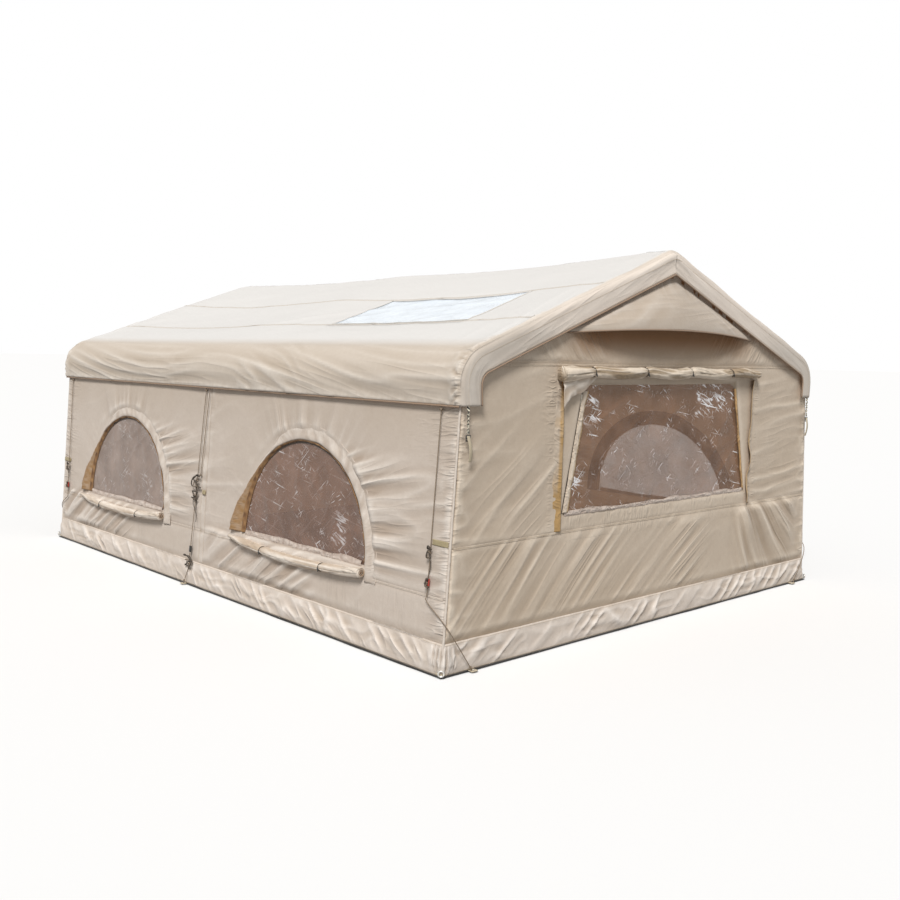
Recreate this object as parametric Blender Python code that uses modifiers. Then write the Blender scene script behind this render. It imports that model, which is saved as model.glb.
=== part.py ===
# Inflatable house tent: three air beam arches tied by ridge and eave beams, canvas walls and
# roof over them, a rain fly, film windows with their rolled flaps, a door, guy ropes and a valve.
# X runs along the ridge, the front gable faces +X, the near long wall faces -Y, Z is up.

import math

import bmesh
import bpy
from mathutils import Matrix, Vector

# Sizes of the whole tent, in metres
HALF_LENGTH = 2.300
BASE_HALF_WIDTH = 1.728
WALL_LEAN_IN = 0.088
HEM_HEIGHT = 1.300
WALL_HEIGHT = 1.330
EAVE_PROUD = 0.035
EAVE_CORNER_HEIGHT = 1.532
RIDGE_HEIGHT_FRONT = 2.165
RIDGE_HEIGHT_MIDDLE = 2.120
RIDGE_HEIGHT_REAR = 2.125
RIDGE_SAG = 0.018
SLOPE_SAG = 0.024

# Cloth and clearances
CANVAS = 0.004
FLY_CLOTH = 0.004
FILM = 0.0012
GAP = 0.0004
LAYER_GAP = 0.0008
LOOSE_GAP = 0.001

# Air beams
ARCH_RADIUS = 0.075
ARCH_EAVE_BEND = 0.115
ARCH_RIDGE_BEND = 0.160
RIDGE_BEAM_RADIUS = 0.050
EAVE_BEAM_RADIUS = 0.060
BEAM_RING_STEPS = 4

# Rain fly
FLY_OVERHANG = 0.035
FLY_SHOULDER = 0.030
FLY_EAVE_RADIUS = 0.200
FLY_RIDGE_RADIUS = 0.160
FLY_HEM_PROUD = 0.022
GABLE_BAND = 0.130
STRAP_OUTER = 0.034
STRAP_INNER = 0.056
STRAP_DROP = 0.135

# Skylight in the near slope of the front bay
SKYLIGHT_TO_ARCH = 0.3406
SKYLIGHT_LENGTH = 1.240
SKYLIGHT_LOWER_Y = 1.150
SKYLIGHT_UPPER_Y = 0.615
SLOPE_LOW_Y = 1.330
SLOPE_HIGH_Y = 0.330

# Ground sheet and mud skirt
GROUNDSHEET = 0.006
GROUNDSHEET_BORDER = 0.016
EAR_REACH = 0.032
EAR_HALF_WIDTH = 0.022
EYELET_RADIUS = 0.006
SKIRT_HEIGHT = 0.162
SKIRT_CLOTH = 0.003
SKIRT_FOOT_OUT = 0.008

# D shaped windows in the long walls
WINDOW_TO_FRONT_GABLE = 1.240
WINDOW_TO_REAR_GABLE = 1.125
WINDOW_RADIUS = 0.595
WINDOW_SILL = 0.435
WINDOW_ZIP_OFFSET = 0.008
FLAP_ROLL_RADIUS = 0.026
FLAP_ROLL_HALF_LENGTH = 0.665
FLAP_ROLL_SHIFT = 0.060
FLAP_ROLL_BELOW_SILL = 0.036
FLAP_ROLL_SAG = 0.040

# Window in the front gable
GABLE_SILL = 0.715
GABLE_HEAD = 1.395
GABLE_SILL_HALF_WIDTH = 0.880
GABLE_HEAD_HALF_WIDTH = 0.735
GABLE_CORNER_RADIUS = 0.070
GABLE_ZIP_OFFSET = 0.013
GABLE_ROLL_RADIUS = 0.034
GABLE_ROLL_HALF_LENGTH = 0.960
GABLE_ROLL_HEIGHT = 1.466
GABLE_ROLL_SAG = 0.012
STORM_FLAP_INNER = 0.906
STORM_FLAP_WIDTH = 0.085
STORM_FLAP_CLOTH = 0.003
STORM_FLAP_FOOT = 0.625

# Vent brow over the front gable
BROW_HALF_WIDTH = 0.900
BROW_LAP = 0.030
BROW_END_DROP = 0.018
BROW_EDGE_RISE = 0.037
BROW_BULGE = 0.115
BROW_CLOTH = 0.003

# Door in the rear gable
DOOR_HALF_WIDTH = 0.520
DOOR_SILL = 0.195
DOOR_HEAD_BELOW_RIDGE = 0.405
DOOR_CORNER_RADIUS = 0.180
DOOR_LAP = 0.022

# Zip sliders
SLIDER_WIDTH = 0.012
SLIDER_LENGTH = 0.022
SLIDER_PULL_WIDTH = 0.008
SLIDER_PULL_LENGTH = 0.034
SLIDER_THICKNESS = 0.005
SLIDER_EYE_RADIUS = 0.002
GABLE_SLIDER_DROP = 0.060
DOOR_SLIDER_HEIGHT = 0.300

# Guy ropes and their tensioners
ROPE_RADIUS = 0.0025
ROPE_STANDOFF = 0.020
CORNER_ROPE_INSET = 0.110
CORNER_ROPE_DRIFT = 0.010
CORNER_ROPE_BEND_HEIGHT = 0.350
CORNER_ROPE_TURN_HEIGHT = 0.240
ROPE_EASE = 0.040
CORNER_ROPE_FOOT_INSET = 0.183
MIDDLE_ROPE_TOP_X = -0.060
MIDDLE_ROPE_LOW_X = -0.160
MIDDLE_ROPE_FOOT_X = -0.195
MIDDLE_ROPE_BEND_HEIGHT = 0.120
ROPE_FOOT_REACH = 0.036
ROPE_FOOT_TUCK = 0.012
TENSIONER_LENGTH = 0.040
TENSIONER_HALF_WIDTH = 0.009
TENSIONER_HALF_DEPTH = 0.006
TENSIONER_BORE = 0.0031
CORNER_TENSIONER_HEIGHT = 0.440
MIDDLE_TENSIONER_HEIGHT = 0.240

# Ladder lock buckles on the fly's corner straps
BUCKLE_HALF_WIDTH = 0.015
BUCKLE_HEIGHT = 0.030
BUCKLE_THICKNESS = 0.004
BUCKLE_BAR = 0.0045
BUCKLE_GAP = 0.0009

# Inflation valve on the rear arch
VALVE_HEIGHT = 0.420
VALVE_RADIUS = 0.022
VALVE_NECK_RADIUS = 0.018
VALVE_FLANGE_REACH = 0.006
VALVE_NECK_REACH = 0.012
VALVE_BORE = 0.011
VALVE_BORE_DEPTH = 0.008
PLUNGER_GUIDE_DEPTH = 0.008
VALVE_ROOT = 0.030
VALVE_CAP_RADIUS = 0.024
VALVE_CAP_WALL = 0.003
VALVE_CAP_REACH = 0.021
PLUNGER_RADIUS = 0.005
PLUNGER_HEAD_RADIUS = 0.009
PLUNGER_HEAD = 0.002
PLUNGER_TRAVEL = 0.004

SHARP_ANGLE = 30
TURN_STEPS = 24
ARC_STEPS = 4
RIDGE_STEPS = 4
WINDOW_ARC_STEPS = 20
EYELET_STEPS = 10
BORE_STEPS = 12
REAR_BAY_STEPS = 4
SKYLIGHT_STEPS = 3
SHOULDER_STEPS = 3
FLAP_ROLL_STEPS = 8
GABLE_ROLL_STEPS = 10
BROW_COLUMNS = 10
BROW_STEPS = 4
ROPE_POINTS = 22
ROPE_RING_STEPS = 2
STRAIGHT_STEPS = 5
CURVE_STEPS = 12

TOP_HALF_WIDTH = BASE_HALF_WIDTH - WALL_LEAN_IN
EAVE_HALF_WIDTH = TOP_HALF_WIDTH + EAVE_PROUD
FLY_HEM_HALF_WIDTH = TOP_HALF_WIDTH + FLY_HEM_PROUD
DOOR_HEAD = RIDGE_HEIGHT_REAR - DOOR_HEAD_BELOW_RIDGE
CORNER_ROPE_FOOT_Y = BASE_HALF_WIDTH - CORNER_ROPE_FOOT_INSET
LEAN = WALL_LEAN_IN / HEM_HEIGHT
LEAN_ANGLE = math.atan(LEAN)
FLOOR_TOP = GROUNDSHEET + GAP
ARCH_FOOT = FLOOR_TOP + ARCH_RADIUS * math.sin(LEAN_ANGLE)
ARCH_END_X = HALF_LENGTH - CANVAS - GAP - ARCH_RADIUS
CANOPY_DEPTH = FLY_CLOTH + LAYER_GAP
ARCH_DEPTH = CANOPY_DEPTH + CANVAS + LAYER_GAP + ARCH_RADIUS
FLY_END_X = HALF_LENGTH + FLY_OVERHANG
WINDOW_ZIP_RADIUS = WINDOW_RADIUS + WINDOW_ZIP_OFFSET
WINDOW_X_FRONT = HALF_LENGTH - WINDOW_TO_FRONT_GABLE
WINDOW_X_REAR = WINDOW_TO_REAR_GABLE - HALF_LENGTH
SKYLIGHT_END = ARCH_END_X - ARCH_RADIUS - SKYLIGHT_TO_ARCH
SKYLIGHT_START = SKYLIGHT_END - SKYLIGHT_LENGTH
STORM_FLAP_HEAD = GABLE_ROLL_HEIGHT - GABLE_ROLL_SAG - GABLE_ROLL_RADIUS - LOOSE_GAP


for old in list(bpy.data.objects):
    bpy.data.objects.remove(old, do_unlink=True)

parts = bpy.data.collections.new("inflatable_tent")
cutters = bpy.data.collections.new("cutters")
bpy.context.scene.collection.children.link(parts)
bpy.context.scene.collection.children.link(cutters)


def make_material(name, color, roughness, metallic=0.0):
    material = bpy.data.materials.new(name)
    material.use_nodes = True
    shader = material.node_tree.nodes["Principled BSDF"]
    shader.inputs["Base Color"].default_value = (*color, 1.0)
    shader.inputs["Roughness"].default_value = roughness
    shader.inputs["Metallic"].default_value = metallic
    material.diffuse_color = (*color, 1.0)
    return material


wall_canvas = make_material("wall_canvas", (0.64, 0.52, 0.38), 0.75)
fly_canvas = make_material("fly_canvas", (0.72, 0.62, 0.47), 0.65)
air_beam = make_material("air_beam", (0.46, 0.36, 0.24), 0.5)
clear_film = make_material("clear_film", (0.48, 0.42, 0.38), 0.15)
sky_film = make_material("sky_film", (0.72, 0.80, 0.86), 0.15)
net_cloth = make_material("net_cloth", (0.30, 0.26, 0.21), 0.8)
ground_cloth = make_material("ground_cloth", (0.04, 0.04, 0.04), 0.6)
zip_metal = make_material("zip_metal", (0.20, 0.18, 0.15), 0.4, 0.7)
rope_fibre = make_material("rope_fibre", (0.17, 0.15, 0.12), 0.8)
black_plastic = make_material("black_plastic", (0.03, 0.03, 0.03), 0.45)
red_plastic = make_material("red_plastic", (0.45, 0.08, 0.05), 0.45)


def add_part(name, data, material, place=None, collection=parts):
    part = bpy.data.objects.new(name, data)
    collection.objects.link(part)
    if place is not None:
        part.matrix_world = place
    data.materials.append(material)
    return part


def hang_on(part, name, point):
    """Parent a moving piece to an empty on its joint's axis, where it stays as placed."""
    pivot = bpy.data.objects.new(name, None)
    parts.objects.link(pivot)
    pivot.matrix_world = Matrix.Translation(point)
    part.parent = pivot
    part.matrix_parent_inverse = pivot.matrix_world.inverted()


def frame_at(origin, across, up):
    """Place whose X is across, Y is up and Z is the face's outward normal."""
    across = Vector(across).normalized()
    up = Vector(up).normalized()
    out = across.cross(up)
    turn = Matrix((across, up, out)).transposed().to_4x4()
    return Matrix.Translation(Vector(origin)) @ turn


def panel(name, outlines, thickness, material, place, sink=0.0):
    """Flat slab from an outer outline and its holes. Its outer face is sunk below the place."""
    curve = bpy.data.curves.new(name, "CURVE")
    curve.dimensions = "2D"
    curve.fill_mode = "BOTH"
    curve.extrude = thickness / 2
    for outline in outlines:
        spline = curve.splines.new("POLY")
        spline.points.add(len(outline) - 1)
        for point, (across, up) in zip(spline.points, outline):
            point.co = (across, up, 0.0, 1.0)
        spline.use_cyclic_u = True
    shift = Matrix.Translation((0.0, 0.0, -thickness / 2 - sink))
    return add_part(name, curve, material, place @ shift)


def tube(name, points, radius, material, ring_steps=BEAM_RING_STEPS, collection=parts):
    curve = bpy.data.curves.new(name, "CURVE")
    curve.dimensions = "3D"
    curve.bevel_depth = radius
    curve.bevel_resolution = ring_steps
    curve.use_fill_caps = True
    spline = curve.splines.new("POLY")
    spline.points.add(len(points) - 1)
    for point, place in zip(spline.points, points):
        point.co = (*place, 1.0)
    return add_part(name, curve, material, None, collection)


def as_mesh(part, collection=parts):
    """A curve made a mesh with its caps welded, so that it can be cut."""
    name = part.name
    material = part.data.materials[0]
    evaluated = part.evaluated_get(bpy.context.evaluated_depsgraph_get())
    data = bpy.data.meshes.new_from_object(evaluated)
    place = part.matrix_world.copy()
    bpy.data.objects.remove(part, do_unlink=True)
    work = bmesh.new()
    work.from_mesh(data)
    bmesh.ops.remove_doubles(work, verts=work.verts, dist=GAP / 10)
    work.to_mesh(data)
    work.free()
    data.materials.clear()
    return add_part(name, data, material, place, collection)


def sheet(name, rows, thickness, material, is_hole=None, extra=None):
    """Cloth lofted through rows of points, thickened inwards from its outer face."""
    work = bmesh.new()
    grid = [[work.verts.new(point) for point in row] for row in rows]
    for i in range(len(grid) - 1):
        for j in range(len(grid[0]) - 1):
            if is_hole is not None and is_hole(rows[i][j], rows[i + 1][j + 1]):
                continue
            first = grid[i][j]
            second = grid[i + 1][j]
            third = grid[i + 1][j + 1]
            fourth = grid[i][j + 1]
            work.faces.new((first, second, third))
            work.faces.new((first, third, fourth))
    if extra is not None:
        extra(work, grid)
    loose = [vert for vert in work.verts if not vert.link_faces]
    bmesh.ops.delete(work, geom=loose, context="VERTS")
    data = bpy.data.meshes.new(name)
    work.to_mesh(data)
    work.free()
    part = add_part(name, data, material)
    shell = part.modifiers.new("cloth", "SOLIDIFY")
    shell.thickness = thickness
    shell.offset = -1.0
    shell.use_even_offset = True
    return part


def turned(name, profile, material, place):
    """Turned piece about its own Z from a profile of radius and height."""
    data = bpy.data.meshes.new(name)
    points = [(radius, 0.0, height) for radius, height in profile]
    data.from_pydata(points, [(i, i + 1) for i in range(len(points) - 1)], [])
    part = add_part(name, data, material, place)
    screw = part.modifiers.new("turn", "SCREW")
    screw.steps = TURN_STEPS
    screw.render_steps = TURN_STEPS
    screw.use_merge_vertices = True
    screw.merge_threshold = GAP / 10
    return part


def cut_away(part, cutter):
    cut = part.modifiers.new("cut", "BOOLEAN")
    cut.operation = "DIFFERENCE"
    cut.solver = "EXACT"
    cut.object = cutter


def arc_points(centre, radius, start, end, steps):
    angles = [start + (end - start) * i / steps for i in range(steps + 1)]
    return [(centre[0] + radius * math.cos(a), centre[1] + radius * math.sin(a)) for a in angles]


def rounded_box(half_width, low, high, radius, steps=ARC_STEPS):
    """Outline of a rectangle with rounded top corners."""
    right = arc_points((half_width - radius, high - radius), radius, 0.0, math.pi / 2, steps)
    left = arc_points((radius - half_width, high - radius), radius, math.pi / 2, math.pi, steps)
    return [(-half_width, low), (half_width, low)] + right + left


def fillet(before, corner, after, radius, steps=ARC_STEPS):
    """Points of the arc that rounds a corner of a path."""
    to_before = (Vector(before) - Vector(corner)).normalized()
    to_after = (Vector(after) - Vector(corner)).normalized()
    half = to_before.angle(to_after) / 2
    centre = Vector(corner) + (to_before + to_after).normalized() * radius / math.sin(half)
    start = Vector(corner) + to_before * radius / math.tan(half) - centre
    end = Vector(corner) + to_after * radius / math.tan(half) - centre
    sweep = start.angle_signed(end)
    points = []
    for i in range(steps + 1):
        turn = Matrix.Rotation(-sweep * i / steps, 2)
        points.append(tuple(centre + turn @ start))
    return points


def wall_y(height):
    return BASE_HALF_WIDTH - LEAN * height


def bay_share(x):
    """How far x lies between two arches, as a half wave that is zero on each arch."""
    low = ARCH_RADIUS
    high = ARCH_END_X - ARCH_RADIUS
    share = (abs(x) - low) / (high - low)
    if share <= 0.0 or share >= 1.0:
        return 0.0
    return math.sin(math.pi * share)


def ridge_at(x, sagging=True):
    end = RIDGE_HEIGHT_FRONT if x > 0 else RIDGE_HEIGHT_REAR
    share = (abs(x) - ARCH_RADIUS) / (ARCH_END_X - 2 * ARCH_RADIUS)
    share = min(max(share, 0.0), 1.0)
    height = RIDGE_HEIGHT_MIDDLE + (end - RIDGE_HEIGHT_MIDDLE) * share
    return height - (RIDGE_SAG * bay_share(x) if sagging else 0.0)


def slope_drop(x, y):
    """How far the cloth sags between two arches, half way down its slope the most."""
    share = (SLOPE_LOW_Y - y) / (SLOPE_LOW_Y - SLOPE_HIGH_Y)
    return SLOPE_SAG * bay_share(x) * math.sin(math.pi * min(max(share, 0.0), 1.0))


def roof_pitch(ridge):
    return (ridge - EAVE_CORNER_HEIGHT) / EAVE_HALF_WIDTH


def house_corners(ridge, side_in, roof_in, foot, for_fly=False):
    """Foot, eave and apex of the far half of a section, set in from its outer faces."""
    pitch = roof_pitch(ridge)
    apex = ridge - roof_in * math.hypot(1.0, pitch)
    if for_fly:
        lean = (FLY_HEM_HALF_WIDTH - EAVE_HALF_WIDTH) / (EAVE_CORNER_HEIGHT - HEM_HEIGHT)
        width = FLY_HEM_HALF_WIDTH + lean * HEM_HEIGHT
    else:
        lean = LEAN
        width = BASE_HALF_WIDTH
    width -= side_in * math.hypot(1.0, lean)
    eave_z = (apex - pitch * width) / (1.0 - pitch * lean)
    return (width - lean * foot, foot), (width - lean * eave_z, eave_z), (0.0, apex)


def roof_section(x, side_in, roof_in, foot, eave_radius, ridge_radius, for_fly, sagging=True):
    """Open section path in Y and Z, from the near foot over the ridge to the far foot."""
    ridge = ridge_at(x, sagging)
    low, eave, apex = house_corners(ridge, side_in, roof_in, foot, for_fly)
    far_eave = fillet(low, eave, apex, eave_radius)
    mirror_eave = (-eave[0], eave[1])
    top = fillet(eave, apex, mirror_eave, ridge_radius, RIDGE_STEPS)
    pitch = roof_pitch(ridge)
    slope = []
    for y in (SLOPE_LOW_Y, SKYLIGHT_LOWER_Y, (SKYLIGHT_LOWER_Y + SKYLIGHT_UPPER_Y) / 2,
              SKYLIGHT_UPPER_Y, SLOPE_HIGH_Y):
        drop = slope_drop(x, y) if sagging else 0.0
        slope.append((y, apex[1] - pitch * y - drop))
    half = [low] + far_eave + slope
    near = [(-y, z) for y, z in half]
    middle = [(y, z) for y, z in reversed(top)]
    return near + middle + half[::-1]


def main_stations(end):
    """X of the roof's sections: arches, bays and the skylight's edges."""
    rear_flank = ARCH_END_X - ARCH_RADIUS
    rear = [-end, -rear_flank]
    for i in range(1, REAR_BAY_STEPS):
        rear.append(-rear_flank + (rear_flank - ARCH_RADIUS) * i / REAR_BAY_STEPS)
    front = [ARCH_RADIUS]
    front.append((ARCH_RADIUS + SKYLIGHT_START) / 2)
    for i in range(SKYLIGHT_STEPS + 1):
        front.append(SKYLIGHT_START + SKYLIGHT_LENGTH * i / SKYLIGHT_STEPS)
    return rear + [-ARCH_RADIUS] + front + [rear_flank, end]


def in_skylight(low, high):
    middle = (low + high) / 2
    inside_x = SKYLIGHT_START < middle.x < SKYLIGHT_END
    return inside_x and -SKYLIGHT_LOWER_Y < middle.y < -SKYLIGHT_UPPER_Y


def roof_rows(end, side_in, roof_in, foot, eave_radius, ridge_radius, for_fly=False):
    rows = []
    for x in main_stations(end):
        section = roof_section(x, side_in, roof_in, foot, eave_radius, ridge_radius, for_fly)
        rows.append([Vector((x, y, z)) for y, z in section])
    return rows


def skylight_rows(depth):
    """Outer face of the pane that closes the skylight, as deep below the fly's outer face."""
    rows = []
    for i in range(SKYLIGHT_STEPS + 1):
        x = SKYLIGHT_START + SKYLIGHT_LENGTH * i / SKYLIGHT_STEPS
        pitch = roof_pitch(ridge_at(x))
        apex = ridge_at(x) - depth * math.hypot(1.0, pitch)
        edge_x = min(max(x, SKYLIGHT_START + LOOSE_GAP), SKYLIGHT_END - LOOSE_GAP)
        row = []
        middle = (SKYLIGHT_LOWER_Y + SKYLIGHT_UPPER_Y) / 2
        for y in (SKYLIGHT_LOWER_Y - LOOSE_GAP, middle, SKYLIGHT_UPPER_Y + LOOSE_GAP):
            row.append(Vector((edge_x, -y, apex - pitch * y - slope_drop(x, y))))
        rows.append(row)
    return rows


def wall_place(side):
    """Place on a long wall's outer face at its foot, with Y up the wall."""
    up = (0.0, -side * math.sin(LEAN_ANGLE), math.cos(LEAN_ANGLE))
    return frame_at((0.0, side * BASE_HALF_WIDTH, 0.0), (-side, 0.0, 0.0), up)


def gable_place(end):
    return frame_at((end * HALF_LENGTH, 0.0, 0.0), (0.0, end, 0.0), (0.0, 0.0, 1.0))


def along_wall(height):
    """Distance up the leaning wall of a point at this height."""
    return height / math.cos(LEAN_ANGLE)


def window_outline(middle, radius):
    centre = (middle, along_wall(WINDOW_SILL))
    return arc_points(centre, radius, 0.0, math.pi, WINDOW_ARC_STEPS)


def build_arches():
    """Air beam arches, with wider copies that cut what butts against them."""
    stations = (("front", ARCH_END_X), ("middle", 0.0), ("rear", -ARCH_END_X))
    arches = {}
    for name, x in stations:
        side_in = CANVAS + LAYER_GAP + ARCH_RADIUS
        low, eave, apex = house_corners(ridge_at(x), side_in, ARCH_DEPTH, ARCH_FOOT)
        bend = fillet(low, eave, apex, ARCH_EAVE_BEND)
        mirror_eave = (-eave[0], eave[1])
        top = fillet(eave, apex, mirror_eave, ARCH_RIDGE_BEND, RIDGE_STEPS)
        half = [low] + bend
        path = [(-y, z) for y, z in half] + top[::-1] + half[::-1]
        points = [Vector((x, y, z)) for y, z in path]
        tube("arch_beam_" + name, points, ARCH_RADIUS, air_beam)
        cutter = tube("cut_arch_" + name, points, ARCH_RADIUS + GAP, air_beam,
                      collection=cutters)
        cutter = as_mesh(cutter, cutters)
        cutter.hide_render = True
        cutter.display_type = "WIRE"
        middle = bend[len(bend) // 2]
        arches[name] = {
            "x": x,
            "cutter": cutter,
            "ridge": Vector((x, 0.0, top[len(top) // 2][1])),
            "eave": Vector((x, middle[0], middle[1])),
        }
    return arches


def build_beams(arches):
    for end in ("front", "rear"):
        spans = [("ridge_beam_" + end, "ridge", 1.0, RIDGE_BEAM_RADIUS),
                 ("eave_beam_near_" + end, "eave", -1.0, EAVE_BEAM_RADIUS),
                 ("eave_beam_far_" + end, "eave", 1.0, EAVE_BEAM_RADIUS)]
        for name, key, side, radius in spans:
            mirror = Vector((1.0, side, 1.0))
            low = arches["middle"][key] * mirror
            high = arches[end][key] * mirror
            tuck = (high - low).normalized() * ARCH_RADIUS / 4
            points = [low + tuck, high - tuck]
            beam = as_mesh(tube(name, points, radius, air_beam))
            cut_away(beam, arches["middle"]["cutter"])
            cut_away(beam, arches[end]["cutter"])


def build_roof():
    eave_radius = ARCH_EAVE_BEND + ARCH_RADIUS + LAYER_GAP + CANVAS
    ridge_radius = ARCH_RIDGE_BEND + ARCH_RADIUS + LAYER_GAP + CANVAS
    rows = roof_rows(HALF_LENGTH, 0.0, CANOPY_DEPTH, WALL_HEIGHT + GAP, eave_radius,
                     ridge_radius)
    sheet("roof_canopy", rows, CANVAS, wall_canvas, in_skylight)
    sheet("skylight_net", skylight_rows(CANOPY_DEPTH + (CANVAS - FILM) / 2), FILM, net_cloth)
    sheet("skylight_film", skylight_rows((FLY_CLOTH - FILM) / 2), FILM, sky_film)


def fly_end_rings(end):
    """Sections that round the fly's shoulder and turn down into the gable band."""
    rings = []
    for i in range(1, SHOULDER_STEPS + 1):
        angle = math.pi / 2 * i / SHOULDER_STEPS
        x = FLY_END_X - FLY_SHOULDER + FLY_SHOULDER * math.sin(angle)
        rings.append((end * x, FLY_SHOULDER * (1.0 - math.cos(angle))))
    for inset in (STRAP_OUTER, STRAP_INNER, GABLE_BAND):
        rings.append((end * FLY_END_X, inset))
    rows = []
    for x, inset in rings:
        section = roof_section(x, inset, inset, HEM_HEIGHT, FLY_EAVE_RADIUS - inset,
                               FLY_RIDGE_RADIUS - inset, True, False)
        rows.append([Vector((x, y, z)) for y, z in section])
    return rows


def add_corner_straps(work, grid):
    """Webbing that hangs from the gable band's foot at each corner of the fly."""
    drop = Vector((0.0, 0.0, -STRAP_DROP))
    for lower_row, upper_row in ((1, 2), (-3, -2)):
        for column in (0, -1):
            rows = (upper_row, lower_row) if column == 0 else (lower_row, upper_row)
            first = grid[rows[0]][column]
            second = grid[rows[1]][column]
            third = work.verts.new(second.co + drop)
            fourth = work.verts.new(first.co + drop)
            work.faces.new((first, second, third, fourth))


def build_fly():
    rear = fly_end_rings(-1.0)[::-1]
    front = fly_end_rings(1.0)
    main = roof_rows(FLY_END_X - FLY_SHOULDER, 0.0, 0.0, HEM_HEIGHT, FLY_EAVE_RADIUS,
                     FLY_RIDGE_RADIUS, True)
    sheet("rain_fly", rear + main + front, FLY_CLOTH, fly_canvas, in_skylight,
          add_corner_straps)


def build_long_walls():
    low = along_wall(FLOOR_TOP)
    high = along_wall(WALL_HEIGHT)
    outer = [(-HALF_LENGTH, low), (HALF_LENGTH, low), (HALF_LENGTH, high), (-HALF_LENGTH, high)]
    for side, name in ((-1.0, "near"), (1.0, "far")):
        place = wall_place(side)
        middles = {"front": -side * WINDOW_X_FRONT, "rear": -side * WINDOW_X_REAR}
        holes = [window_outline(middle, WINDOW_RADIUS) for middle in middles.values()]
        panel("wall_" + name, [outer] + holes, CANVAS, wall_canvas, place)
        for bay, middle in middles.items():
            centre = (middle, along_wall(WINDOW_SILL) + LOOSE_GAP)
            edge = arc_points(centre, WINDOW_RADIUS - 2 * LOOSE_GAP, 0.0, math.pi,
                              WINDOW_ARC_STEPS)
            sink = (CANVAS - FILM) / 2
            panel("window_film_" + name + "_" + bay, [edge], FILM, clear_film, place, sink)
            aside = -side * FLAP_ROLL_SHIFT
            build_flap_roll("flap_roll_" + name + "_" + bay, middle, aside, place)
            build_window_slider("window_slider_" + name + "_" + bay, middle, place)


def build_flap_roll(name, middle, aside, place):
    """The window's canvas flap, rolled down along the sill and drawn aside to the rear."""
    sill = along_wall(WINDOW_SILL) - FLAP_ROLL_BELOW_SILL
    points = []
    for i in range(FLAP_ROLL_STEPS + 1):
        share = 2.0 * i / FLAP_ROLL_STEPS - 1.0
        up = sill - FLAP_ROLL_SAG * (1.0 - share * share)
        out = FLAP_ROLL_RADIUS + GAP
        across = middle - aside + share * FLAP_ROLL_HALF_LENGTH
        points.append(place @ Vector((across, up, out)))
    tube(name, points, FLAP_ROLL_RADIUS, fly_canvas)


def slider_outline():
    """Zip slider and its pull in plan, the pull hanging below."""
    half = SLIDER_WIDTH / 2
    pull = SLIDER_PULL_WIDTH / 2
    nose = SLIDER_WIDTH / 3
    tip = -SLIDER_PULL_LENGTH - SLIDER_LENGTH / 2
    return [(pull, -SLIDER_LENGTH / 2), (half, nose - SLIDER_LENGTH / 2),
            (half, SLIDER_LENGTH / 2 - nose), (nose, SLIDER_LENGTH / 2),
            (-nose, SLIDER_LENGTH / 2), (-half, SLIDER_LENGTH / 2 - nose),
            (-half, nose - SLIDER_LENGTH / 2), (-pull, -SLIDER_LENGTH / 2),
            (-pull, tip + nose), (-nose / 2, tip), (nose / 2, tip), (pull, tip + nose)]


def build_slider(name, place):
    """Flat zip slider on the face of the place, its pull hanging down."""
    tip = -SLIDER_PULL_LENGTH - SLIDER_LENGTH / 2
    centre = (0.0, tip + SLIDER_WIDTH / 2)
    eye = arc_points(centre, SLIDER_EYE_RADIUS, 0.0, 2 * math.pi, EYELET_STEPS)
    return panel(name, [slider_outline(), eye[:-1]], SLIDER_THICKNESS, zip_metal, place,
                 -SLIDER_THICKNESS - GAP)


def build_window_slider(name, middle, place):
    """Slider parked low on the right of the window's zip, which runs round its arc."""
    centre = Vector((middle, along_wall(WINDOW_SILL), 0.0))
    start = math.asin((SLIDER_PULL_LENGTH + SLIDER_LENGTH) / WINDOW_ZIP_RADIUS)
    turn = Matrix.Rotation(start, 4, "Z")
    out = Matrix.Translation((WINDOW_ZIP_RADIUS, 0.0, 0.0))
    slider = build_slider(name, place @ Matrix.Translation(centre) @ turn @ out)
    hang_on(slider, name + "_pivot", place @ centre)


def gable_outline(ridge):
    side_in = CANVAS + LAYER_GAP
    roof_in = CANOPY_DEPTH + CANVAS + LAYER_GAP
    low, eave, apex = house_corners(ridge, side_in, roof_in, FLOOR_TOP)
    bend = fillet(low, eave, apex, ARCH_EAVE_BEND + ARCH_RADIUS)
    mirror_eave = (-eave[0], eave[1])
    top = fillet(eave, apex, mirror_eave, ARCH_RIDGE_BEND + ARCH_RADIUS, RIDGE_STEPS)
    half = [low] + bend
    return half + top + [(-y, z) for y, z in reversed(half)]


def gable_window_outline(inset):
    """Window with a wide sill and rounded head corners."""
    low = GABLE_SILL + inset
    high = GABLE_HEAD - inset
    taper = (GABLE_SILL_HALF_WIDTH - GABLE_HEAD_HALF_WIDTH) / (GABLE_HEAD - GABLE_SILL)
    wide = GABLE_SILL_HALF_WIDTH - inset - taper * inset
    narrow = GABLE_HEAD_HALF_WIDTH - inset + taper * inset
    radius = GABLE_CORNER_RADIUS - inset
    right = fillet((wide, low), (narrow, high), (-narrow, high), radius)
    left = [(-across, up) for across, up in reversed(right)]
    return [(-wide, low), (wide, low)] + right + left


def build_gables():
    front = gable_place(1.0)
    rear = gable_place(-1.0)
    window = gable_window_outline(0.0)
    panel("gable_wall_front", [gable_outline(RIDGE_HEIGHT_FRONT), window], CANVAS, wall_canvas,
          front)
    panel("gable_window_film", [gable_window_outline(LOOSE_GAP)], FILM, clear_film, front,
          (CANVAS - FILM) / 2)
    door = rounded_box(DOOR_HALF_WIDTH, DOOR_SILL, DOOR_HEAD, DOOR_CORNER_RADIUS)
    panel("gable_wall_rear", [gable_outline(RIDGE_HEIGHT_REAR), door], CANVAS, wall_canvas,
          rear)
    return front, rear


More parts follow.
